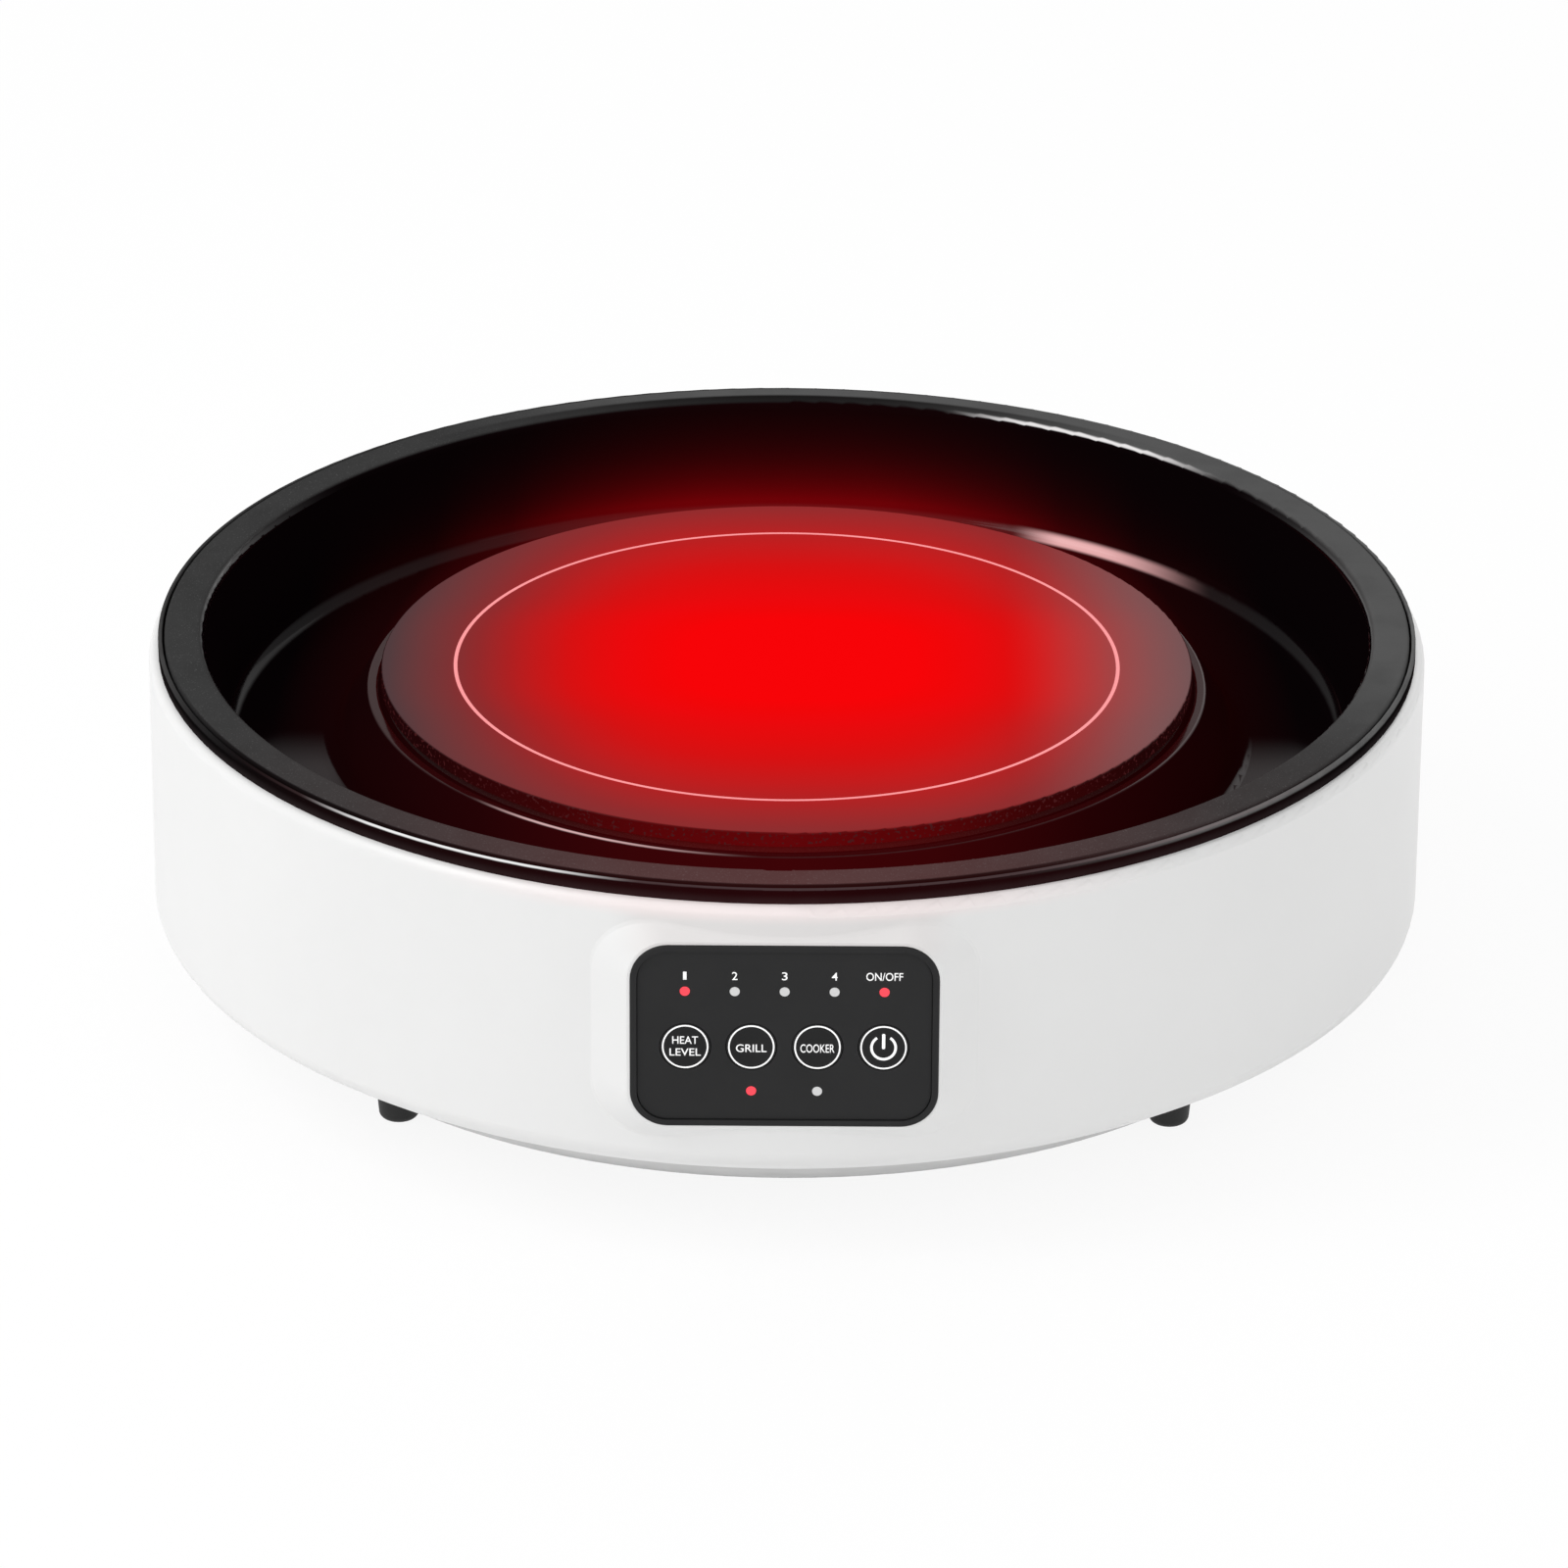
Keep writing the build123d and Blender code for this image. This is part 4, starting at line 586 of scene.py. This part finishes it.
# where its zones begin and end in metres, by height wherever the wall stands upright
basinPlaces = {
    "outsideRadius": (0.1630, 0.1650),
    "wallRadius": (0.1480, 0.1500),
    "channelRadius": (0.1170, 0.1240),
    "lipHeight": (0.0868, 0.0874),
    "floorHeight": (0.0732, 0.0738),
    "floorDepth": (0.0, 0.03),
    "flangeHeight": (0.1052, 0.1059),
    "rimRadius": (0.1673, 0.1679),
    "facingLight": (0.03, 0.15),
    "innerRadius": (0.1570, 0.1576, 0.1618, 0.1636),
    "shadeDepth": (0.12, 0.168),
    "mouthLineHeight": (0.1050, 0.1053, 0.1056, 0.1060),
    "mouthHeight": (0.1036, 0.1041, 0.1050, 0.1058),
    "mouthEndDepth": (0.03, 0.10),
    "lowHeight": (0.0734, 0.0741, 0.0752, 0.0768),
    "lipRadius": (0.1108, 0.1112, 0.1134, 0.1140),
    "lipEdgeRadius": (0.1127, 0.1131, 0.1135, 0.1139),
}
# painted shade on the front of the rim, a little further round on the left
rimFront = {"lean": 0.35, "depth": (-0.15, -0.08)}
# painted highlights, streaks of light on the edges: where each starts, is full, fades and ends across, in
# metres
glints = {
    "mouth": {"across": (0.044, 0.070, 0.098, 0.124), "colour": (0.80, 0.78, 0.78)},
    "low": {"across": (0.064, 0.079, 0.088, 0.120), "colour": (0.80, 0.42, 0.42)},
    "lip": {"across": (-0.084, -0.064, -0.052, -0.006), "colour": (0.66, 0.42, 0.42)},
    "trim": {"across": (-0.126, -0.104, -0.068, -0.036), "colour": (0.88, 0.88, 0.88)},
    "trimAllRound": {"across": (-0.150, -0.100, 0.100, 0.150), "colour": (0.060, 0.034, 0.036)},
}
# painted red light from the plate on the basin, by distance behind the plate, and to the side in front of
# it
basinGlowLook = {
    "depthShare": 0.55,
    "fromHeight": 0.0745,
    "fall": 0.0076,
    "mostOfFall": 0.65,
    "rearReach": 0.14,
    "rear": [
        (0.0000, (0.220, 0.0, 0.0016)),
        (0.0870, (0.220, 0.0, 0.0016)),
        (0.0988, (0.120, 0.0, 0.0010)),
        (0.1070, (0.050, 0.0, 0.0005)),
        (0.1189, (0.011, 0.0, 0.0)),
        (0.1400, (0.000, 0.0, 0.0)),
    ],
    "frontReach": 0.16,
    "front": [
        (0.000, (0.0440, 0.0004, 0.0010)),
        (0.040, (0.0360, 0.0004, 0.0008)),
        (0.080, (0.0150, 0.0, 0.0003)),
        (0.120, (0.0040, 0.0, 0.0)),
        (0.160, (0.0000, 0.0, 0.0)),
    ],
    "flangeReach": 0.16,
    "flange": [
        (0.000, (0.0560, 0.0004, 0.0004)),
        (0.040, (0.0460, 0.0004, 0.0004)),
        (0.080, (0.0240, 0.0002, 0.0002)),
        (0.115, (0.0060, 0.0, 0.0)),
        (0.160, (0.0000, 0.0, 0.0)),
    ],
    "rimShare": 0.3,
    "insideDepth": (-0.02, 0.06),
    "flangeDepth": (0.04, 0.12),
}


def basinGlow(tree, spot, onFlange, onRim, glow):
    stretched = useGroup(tree, axisGroup, Depth_Share=glow["depthShare"])
    above = maths(tree, "SUBTRACT", glow["fromHeight"], spot.outputs["Height"])
    fade = maths(tree, "EXPONENT", maths(tree, "DIVIDE", above, glow["fall"]))
    rear = colourStops(tree, stretched.outputs["Radius"], glow["rearReach"], glow["rear"])
    rear = mixColour(tree, maths(tree, "MINIMUM", fade, glow["mostOfFall"]), black, rear)
    aside = maths(tree, "ABSOLUTE", spot.outputs["Across"])
    front = colourStops(tree, aside, glow["frontReach"], glow["front"])
    inside = mixColour(tree, frontShare(tree, spot, *glow["insideDepth"]), rear, front)
    flange = colourStops(tree, aside, glow["flangeReach"], glow["flange"])
    dimmed = leftOver(tree, times(tree, onRim, 1 - glow["rimShare"]))
    share = times(tree, frontShare(tree, spot, *glow["flangeDepth"]), dimmed)
    return mixColour(tree, onFlange, inside, mixColour(tree, share, black, flange))


# 1 round the front of the rim and 0 at its sides and rear
def inFront(tree, spot):
    place = maths(tree, "ADD", spot.outputs["Depth"], times(tree, spot.outputs["Across"], rimFront["lean"]))
    return leftOver(tree, stepBetween(tree, place, *rimFront["depth"]))


def basinZones(tree, spot, places):
    radius, height, depth = spot.outputs["Radius"], spot.outputs["Height"], spot.outputs["Depth"]

    def past(value, place):
        return stepBetween(tree, value, *places[place])

    def within(value, place):
        return band(tree, value, *places[place])

    outside = past(radius, "outsideRadius")
    onLip = past(height, "lipHeight")
    onFloor = leftOver(tree, past(height, "floorHeight"))
    facing = maths(tree, "ADD", spot.outputs["Across"], depth)
    notRear = leftOver(tree, past(depth, "mouthEndDepth"))
    mouthSpan = maths(tree, "SUBTRACT", notRear, outside, clamp=True)
    floor = times(tree, past(radius, "channelRadius"), onFloor)
    return {
        "flange": maths(tree, "MAXIMUM", past(height, "flangeHeight"), outside),
        "rim": times(tree, past(radius, "rimRadius"), inFront(tree, spot)),
        "light": past(facing, "facingLight"),
        "shade": times(tree, within(radius, "innerRadius"), past(depth, "shadeDepth")),
        "mouthLine": times(tree, within(height, "mouthLineHeight"), leftOver(tree, outside)),
        "mouth": times(tree, within(height, "mouthHeight"), mouthSpan),
        "low": times(tree, within(height, "lowHeight"), past(radius, "wallRadius")),
        "lip": times(tree, within(radius, "lipRadius"), onLip),
        "lipEdge": times(tree, within(radius, "lipEdgeRadius"), onLip),
        "floor": times(tree, floor, frontShare(tree, spot, *places["floorDepth"])),
    }


# a painted highlight streak lies on its zone, on one side of the middle
def streak(tree, spot, zone, glint, side):
    along = band(tree, spot.outputs["Across"], *glint["across"])
    return times(tree, times(tree, along, zone), side)


def darker(tree, share, colour):
    return mixColour(tree, share, colour, black)


def basinFinish(name, look, glow):
    material, tree, output = newMaterial(name)
    spot = useGroup(tree, axisGroup)
    zone = basinZones(tree, spot, basinPlaces)
    # painted light and shade: the flange is lighter where it faces the right and rear, and dark on its rear
    # inner band
    flange = mixColour(tree, zone["light"], look["flange"], look["flangeFacingLight"])
    drifted = darker(tree, look["driftDark"], flange)
    tone = useGroup(tree, driftGroup, Colour=flange, Drifted=drifted, Scale=look["cloud"])
    specks = speckMask(tree, *look["flangeSpecks"])
    speckled = mixColour(tree, specks, tone.outputs["Colour"], look["speck"])
    shaded = mixColour(tree, zone["shade"], speckled, look["flangeInShade"])
    # painted shade: the front of the rim is darkened
    outer = mixColour(tree, zone["rim"], shaded, look["rim"])
    front = frontShare(tree, spot, *frontHalf)
    rear = leftOver(tree, front)
    # painted red light from the plate on the wall, floor, lip and flange
    red = basinGlow(tree, spot, zone["flange"], zone["rim"], glow)
    light = mixColour(tree, times(tree, zone["lip"], look["lipRedLightShare"]), red, look["lipRedLight"])
    # painted highlights along the mouth, the low fillet and the lip edge
    for part, edge, side in (("mouth", "mouthLine", rear), ("low", "low", rear), ("lip", "lipEdge", front)):
        line = streak(tree, spot, zone[edge], glints[part], side)
        light = mixColour(tree, line, light, glints[part]["colour"])
    coat = 0.0
    for part in ("mouth", "low", "lip", "floor"):
        coat = maths(tree, "ADD", times(tree, zone[part], look[part + "Coat"]), coat)
    satin = grainOf(tree, look)
    plainFlange = times(tree, zone["flange"], leftOver(tree, zone["rim"]))
    principled(
        tree,
        output,
        Base_Color=mixColour(tree, zone["flange"], look["inside"], outer),
        Roughness=satin.outputs["Roughness"],
        Specular_IOR_Level=0.0,
        Emission_Color=light,
        Emission_Strength=1.0,
        Coat_Weight=coat,
        Coat_Roughness=look["coatRoughness"],
        Normal=bump(tree, times(tree, satin.outputs["Height"], plainFlange), *look["bump"]),
    )
    return material


# thin dark ring round the flange, with painted red light in front, painted highlight streaks on its edge, a
# painted lighter lower face, and its top at the sides painted lighter on the right
trimLook = {
    "upper": (0.0035, 0.0028, 0.0030),
    "lower": (0.015, 0.012, 0.0125),
    "left": (0.055, 0.054, 0.054),
    "right": (0.135, 0.135, 0.135),
    "faceHeight": (0.1018, 0.1042),
    "topHeight": (0.1042, 0.1050),
    "leftToRight": (-0.05, 0.13),
    "edgeHeight": (0.1050, 0.1052),
    "edgeRadius": (0.1691, 0.1693, 0.1697, 0.1699),
    "driftDark": 0.2,
    "cloud": 80.0,
    "redReach": 0.16,
    "red": [(0.0, (0.016, 0.0, 0.0006)), (0.05, (0.011, 0.0, 0.0004)), (0.15, black)],
    "redDepth": (0.04, 0.12),
    "grain": (1800.0, 0.45, 0.1),
    "bump": (0.1, 0.0002),
}


def trimFinish(name, look):
    material, tree, output = newMaterial(name)
    spot = useGroup(tree, axisGroup)
    height, across = spot.outputs["Height"], spot.outputs["Across"]
    red = colourStops(tree, maths(tree, "ABSOLUTE", across), look["redReach"], look["red"])
    # painted reflection: the lower part of the face is lighter
    face = mixColour(tree, stepBetween(tree, height, *look["faceHeight"]), look["lower"], look["upper"])
    # painted light: at the sides the top is darker on the left and lighter on the right
    atSide = times(tree, stepBetween(tree, height, *look["topHeight"]), leftOver(tree, inFront(tree, spot)))
    side = mixColour(tree, stepBetween(tree, across, *look["leftToRight"]), look["left"], look["right"])
    colour = mixColour(tree, atSide, face, side)
    drifted = darker(tree, look["driftDark"], colour)
    tone = useGroup(tree, driftGroup, Colour=colour, Drifted=drifted, Scale=look["cloud"])
    front = frontShare(tree, spot, *frontHalf)
    outer = band(tree, spot.outputs["Radius"], *look["edgeRadius"])
    edge = times(tree, stepBetween(tree, height, *look["edgeHeight"]), outer)
    # painted red light in front, and painted highlight streaks along the top edge
    light = mixColour(tree, frontShare(tree, spot, *look["redDepth"]), black, red)
    for part in ("trimAllRound", "trim"):
        line = streak(tree, spot, edge, glints[part], front)
        light = mixColour(tree, line, light, glints[part]["colour"])
    grain = grainOf(tree, look)
    principled(
        tree,
        output,
        Base_Color=tone.outputs["Colour"],
        Roughness=grain.outputs["Roughness"],
        Specular_IOR_Level=0.0,
        Emission_Color=light,
        Emission_Strength=1.0,
        Normal=bump(tree, grain.outputs["Height"], *look["bump"]),
    )
    return material


# what a plain finish has unless its own look says otherwise
plainDefaults = {
    "driftShare": 0.88,
    "cloud": 60.0,
    "rubGain": 1.5,
    "rubLift": 0.02,
    "rub": 0.2,
    "grain": 1500.0,
    "spread": 0.12,
    "metal": 0.0,
    "specular": 0.4,
    "bump": 0.15,
    "bumpDistance": 0.0002,
}


def plainFinish(name, ownLook):
    material, tree, output = newMaterial(name)
    look = {**plainDefaults, **ownLook}
    colour = look["colour"]
    drifted = tuple(c * look["driftShare"] for c in colour)
    rubbed = tuple(min(1.0, c * look["rubGain"] + look["rubLift"]) for c in colour)
    tone = useGroup(tree, driftGroup, Colour=colour, Drifted=drifted, Scale=look["cloud"])
    worn = useGroup(tree, rubGroup, Colour=tone.outputs["Colour"], Rubbed=rubbed, Amount=look["rub"])
    grain = grainOf(tree, {"grain": (look["grain"], look["roughness"], look["spread"])})
    principled(
        tree,
        output,
        Base_Color=worn.outputs["Colour"],
        Metallic=look["metal"],
        Roughness=grain.outputs["Roughness"],
        Specular_IOR_Level=look["specular"],
        Normal=bump(tree, grain.outputs["Height"], look["bump"], look["bumpDistance"]),
    )
    return material


# seven light windows in one part: the outer two of the top row and the left one below are lit; the unlit
# ones have a faint painted glow
lensLook = {
    "off": (0.66, 0.66, 0.66),
    "offPaintedGlow": (0.03, 0.03, 0.03),
    "litSkin": (0.30, 0.02, 0.03),
    "lit": (0.90, 0.052, 0.075),
    "topRowAbove": 0.065,
    "outerBeyond": 0.019,
    "specular": 0.3,
    "grain": (2500.0, 0.35, 0.1),
    "bump": (0.05, 0.0001),
}


def lensFinish(name, look):
    material, tree, output = newMaterial(name)
    spot = useGroup(tree, axisGroup)
    across = spot.outputs["Across"]
    topRow = maths(tree, "GREATER_THAN", spot.outputs["Height"], look["topRowAbove"])
    outer = maths(tree, "GREATER_THAN", maths(tree, "ABSOLUTE", across), look["outerBeyond"])
    litTop = times(tree, topRow, outer)
    litLow = times(tree, leftOver(tree, topRow), maths(tree, "LESS_THAN", across, 0.0))
    lit = maths(tree, "ADD", litTop, litLow, clamp=True)
    grain = grainOf(tree, look)
    principled(
        tree,
        output,
        Base_Color=mixColour(tree, lit, look["off"], look["litSkin"]),
        Roughness=grain.outputs["Roughness"],
        Specular_IOR_Level=look["specular"],
        Emission_Color=mixColour(tree, lit, look["offPaintedGlow"], look["lit"]),
        Emission_Strength=1.0,
        Normal=bump(tree, grain.outputs["Height"], *look["bump"]),
    )
    return material


plainLooks = {
    "base_white": {"colour": (0.60, 0.60, 0.598), "roughness": 0.5, "bump": 0.1},
    "foot_rubber": {"colour": (0.012, 0.012, 0.012), "roughness": 0.6, "grain": 1800.0, "bump": 0.3},
    "fibre": {
        "colour": (0.70, 0.66, 0.58),
        "roughness": 0.9,
        "grain": 700.0,
        "bump": 0.6,
        "driftShare": 0.75,
    },
    "sheet_steel": {"colour": (0.55, 0.55, 0.55), "roughness": 0.35, "metal": 1.0},
    "coil_metal": {"colour": (0.25, 0.17, 0.14), "roughness": 0.5, "metal": 1.0},
    "block_ceramic": {"colour": (0.78, 0.76, 0.70), "roughness": 0.7},
    "screw_steel": {"colour": (0.58, 0.58, 0.58), "roughness": 0.3, "metal": 1.0},
    "fan_black": {"colour": (0.02, 0.02, 0.02), "roughness": 0.5},
    "bronze": {"colour": (0.60, 0.36, 0.14), "roughness": 0.4, "metal": 1.0},
    "board_green": {"colour": (0.02, 0.11, 0.04), "roughness": 0.35},
    "part_black": {"colour": (0.02, 0.02, 0.022), "roughness": 0.45},
    "part_blue": {"colour": (0.03, 0.12, 0.33), "roughness": 0.4},
    "part_white": {"colour": (0.72, 0.72, 0.69), "roughness": 0.45},
    "fin_metal": {"colour": (0.66, 0.66, 0.66), "roughness": 0.4, "metal": 1.0},
    "fuse_glass": {"colour": (0.62, 0.66, 0.66), "roughness": 0.15},
    "core_steel": {"colour": (0.20, 0.17, 0.14), "roughness": 0.55, "metal": 0.6},
    "panel_black": {"colour": (0.022, 0.022, 0.0225), "roughness": 0.42, "specular": 0.12, "bump": 0.08},
    "panel_face": {"colour": (0.0185, 0.0185, 0.019), "roughness": 0.5, "specular": 0.10, "bump": 0.06},
    "key_face": {"colour": (0.0185, 0.0185, 0.019), "roughness": 0.5, "specular": 0.10, "bump": 0.06},
    "gland_black": {"colour": (0.015, 0.015, 0.015), "roughness": 0.55},
    "lead_sleeve": {"colour": (0.70, 0.66, 0.58), "roughness": 0.7},
}

finishes = {slot: plainFinish(slot + "Finish", look) for slot, look in plainLooks.items()}
finishes["shell_white"] = whiteShellFinish("whiteShell", shellLook)
finishes["plate_glass"] = plateFinish("glowingPlate", plateLook, glowLook)
finishes["basin_coat"] = basinFinish("basinCoating", basinLook, basinGlowLook)
finishes["trim_black"] = trimFinish("darkTrim", trimLook)
finishes["lens_clear"] = lensFinish("lightWindows", lensLook)
finishes["plate_gasket"] = gasketFinish("darkGasket", gasketLook)

for name, node in nodes.items():
    slotName = node.material_slots[0].material.name.split(".")[0]
    finish = finishes.get(name) or finishes[slotName]
    for materialSlot in node.material_slots:
        materialSlot.material = finish
print("every part has its finish")


# printed marks, a few hundredths of a millimetre of ink on the plate and the keys, given a painted glow:
# white on the keys and panel, red in the plate's ring
inkLooks = {
    "whiteInk": {"colour": (0.88, 0.88, 0.88), "glow": (0.30, 0.30, 0.30)},
    "zoneInk": {"colour": (0.20, 0.15, 0.15), "glow": (0.80, 0.14, 0.15)},
}
inkWear = {
    "worn": 0.94,
    "cloud": 300.0,
    "specular": 0.2,
    "grain": (3000.0, 0.45, 0.1),
    "bump": (0.05, 0.0001),
}
inkDepth = 0.00003
zoneRingLook = {"radius": 0.0898, "line": 0.0010, "corners": 256}
keyRingLook = {"radius": 0.0059, "line": 0.00040, "taller": 1.035, "corners": 96}
powerLook = {
    "radius": 0.0034,
    "line": 0.00066,
    "taller": 1.06,
    "gapHalfAngle": 33.0,
    "barWidth": 0.00082,
    "barFrom": -0.0004,
    "barTo": 0.0039,
    "corners": 120,
    "barRounding": 0.45,
    "barSegments": 4,
}
# printed letters and numbers, all in one weight
letterLook = {"weight": 0.006, "smoothness": 6, "mergeWithin": 0.000001}
labelRow = 0.08269  # how high the row of labels stands above the table
labelTall = 0.00225
# a word stands at its own middle, or this far above the middle of its key
wordLooks = {
    "labelOne": {"words": "1", "middle": (-0.0253, labelRow), "width": 0.00090, "height": labelTall},
    "labelTwo": {"words": "2", "middle": (-0.01265, labelRow), "width": 0.00142, "height": labelTall},
    "labelThree": {"words": "3", "middle": (0.0, labelRow), "width": 0.00142, "height": labelTall},
    "labelFour": {"words": "4", "middle": (0.01265, labelRow), "width": 0.00150, "height": labelTall},
    "labelOnOff": {"words": "ON/OFF", "middle": (0.0253, labelRow), "width": 0.00933, "height": labelTall},
    "heatWord": {
        "words": "HEAT",
        "key": "heat_level",
        "rise": 0.00185, "width": 0.00656, "height": 0.00214,
    },
    "levelWord": {
        "words": "LEVEL",
        "key": "heat_level",
        "rise": -0.00155, "width": 0.00794, "height": 0.00208,
    },
    "grillWord": {
        "words": "GRILL",
        "key": "grill",
        "rise": -0.00037, "width": 0.00779, "height": 0.00220,
    },
    "cookerWord": {
        "words": "COOKER",
        "key": "cooker",
        "rise": -0.00034, "width": 0.00866, "height": 0.00237,
    },
}


def inkFinish(name, ownLook):
    material, tree, output = newMaterial(name)
    look = {**inkWear, **ownLook}
    worn = tuple(look["worn"] * c for c in look["colour"])
    tone = useGroup(tree, driftGroup, Colour=look["colour"], Drifted=worn, Scale=look["cloud"])
    grain = grainOf(tree, look)
    principled(
        tree,
        output,
        Base_Color=tone.outputs["Colour"],
        Roughness=grain.outputs["Roughness"],
        Specular_IOR_Level=look["specular"],
        # painted glow on the ink
        Emission_Color=look["glow"],
        Emission_Strength=1.0,
        Normal=bump(tree, grain.outputs["Height"], *look["bump"]),
    )
    return material


inkFinishes = {name: inkFinish(name, look) for name, look in inkLooks.items()}


def selectPoints(test):
    piece = bpy.context.object
    bpy.ops.object.mode_set(mode="OBJECT")
    for part in (piece.data.edges, piece.data.polygons):
        for item in part:
            item.select = False
    for vertex in piece.data.vertices:
        vertex.select = test(vertex.co)
    bpy.ops.object.mode_set(mode="EDIT")


# flat ring, open at the top by the angle given
def flatRing(outer, line, corners, gapHalfAngle=0.0):
    deselectAll()
    bpy.ops.mesh.primitive_circle_add(vertices=corners, radius=outer, fill_type="NOTHING")
    ring = bpy.context.object
    bpy.ops.object.mode_set(mode="EDIT")
    bpy.ops.mesh.select_mode(type="VERT")
    if gapHalfAngle:
        widest = sin(radians(gapHalfAngle)) * outer
        selectPoints(lambda spot: spot.y > 0 and abs(spot.x) < widest)
        bpy.ops.mesh.delete(type="VERT")
    bpy.ops.mesh.select_all(action="SELECT")
    bpy.ops.mesh.extrude_edges_move()
    bpy.ops.transform.resize(value=((outer - line) / outer,) * 3, center_override=(0, 0, 0))
    bpy.ops.object.mode_set(mode="OBJECT")
    return ring


def thicken(piece):
    deselectAll()
    piece.select_set(True)
    bpy.context.view_layer.objects.active = piece
    bpy.ops.object.mode_set(mode="EDIT")
    bpy.ops.mesh.select_all(action="SELECT")
    bpy.ops.mesh.extrude_region_move(TRANSFORM_OT_translate={"value": (0, 0, inkDepth)})
    bpy.ops.mesh.select_all(action="SELECT")
    bpy.ops.mesh.normals_make_consistent(inside=False)
    bpy.ops.object.mode_set(mode="OBJECT")


def settle(piece, name, matrix, ink, body):
    piece.name = name
    piece.data.name = name
    piece.data.transform(matrix)
    piece.data.materials.clear()
    piece.data.materials.append(inkFinishes[ink])
    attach(piece, body)


def onFront(across, front, height):
    return Matrix.Translation((across, front, height)) @ Matrix.Rotation(pi / 2, 4, "X")


def makeZoneRing():
    look = zoneRingLook
    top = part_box("ceramic_plate")[1].z
    ring = flatRing(look["radius"] + look["line"] / 2, look["line"], look["corners"])
    thicken(ring)
    settle(ring, "zoneRing", Matrix.Translation((0, 0, top)), "zoneInk", "cooker")


def keyMiddle(keyName):
    low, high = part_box(keyName + "_key")
    return (low.x + high.x) / 2, low.y, (low.z + high.z) / 2


def makeKeyRing(keyName):
    look = keyRingLook
    ring = flatRing(look["radius"], look["line"], look["corners"])
    thicken(ring)
    ring.data.transform(Matrix.Diagonal((1, look["taller"], 1, 1)))
    place = onFront(*keyMiddle(keyName))
    settle(ring, keyName + "Ring", place, "whiteInk", keyName + "_key_body")


def makeWords(name, look):
    deselectAll()
    bpy.ops.object.text_add(location=(0, 0, 0))
    words = bpy.context.object
    words.data.body = look["words"]
    words.data.size = 1.0
    words.data.offset = letterLook["weight"]
    words.data.resolution_u = letterLook["smoothness"]
    bpy.ops.object.convert(target="MESH")
    words = bpy.context.object
    xs = [vertex.co.x for vertex in words.data.vertices]
    ys = [vertex.co.y for vertex in words.data.vertices]
    wide = look["width"] / (max(xs) - min(xs))
    tall = look["height"] / (max(ys) - min(ys))
    toMiddle = Matrix.Translation((-(max(xs) + min(xs)) / 2, -(max(ys) + min(ys)) / 2, 0))
    words.data.transform(Matrix.Diagonal((wide, tall, 1, 1)) @ toMiddle)
    bpy.ops.object.mode_set(mode="EDIT")
    bpy.ops.mesh.select_all(action="SELECT")
    bpy.ops.mesh.remove_doubles(threshold=letterLook["mergeWithin"])
    bpy.ops.object.mode_set(mode="OBJECT")
    thicken(words)
    if "key" in look:
        across, front, height = keyMiddle(look["key"])
        place = onFront(across, front, height + look["rise"])
        settle(words, name, place, "whiteInk", look["key"] + "_key_body")
    else:
        across, height = look["middle"]
        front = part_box("panel_overlay")[0].y
        settle(words, name, onFront(across, front, height), "whiteInk", "cooker")


def makePowerMark():
    look = powerLook
    arc = flatRing(look["radius"], look["line"], look["corners"], look["gapHalfAngle"])
    arc.data.transform(Matrix.Diagonal((1, look["taller"], 1, 1)))
    deselectAll()
    middle = (look["barFrom"] + look["barTo"]) / 2
    bpy.ops.mesh.primitive_plane_add(size=1.0, location=(0, middle, 0))
    bar = bpy.context.object
    bar.scale = (look["barWidth"], look["barTo"] - look["barFrom"], 1)
    bpy.ops.object.transform_apply(location=True, rotation=True, scale=True)
    bpy.ops.object.mode_set(mode="EDIT")
    bpy.ops.mesh.select_all(action="SELECT")
    rounding = look["barWidth"] * look["barRounding"]
    bpy.ops.mesh.bevel(offset=rounding, segments=look["barSegments"], affect="VERTICES")
    bpy.ops.object.mode_set(mode="OBJECT")
    arc.select_set(True)
    bpy.context.view_layer.objects.active = arc
    bpy.ops.object.join()
    mark = bpy.context.object
    thicken(mark)
    settle(mark, "powerMark", onFront(*keyMiddle("power")), "whiteInk", "power_key_body")


makeZoneRing()
for keyName in ("heat_level", "grill", "cooker", "power"):
    makeKeyRing(keyName)
for wordName, wordLook in wordLooks.items():
    makeWords(wordName, wordLook)
makePowerMark()
print("ring, key marks and labels are printed")
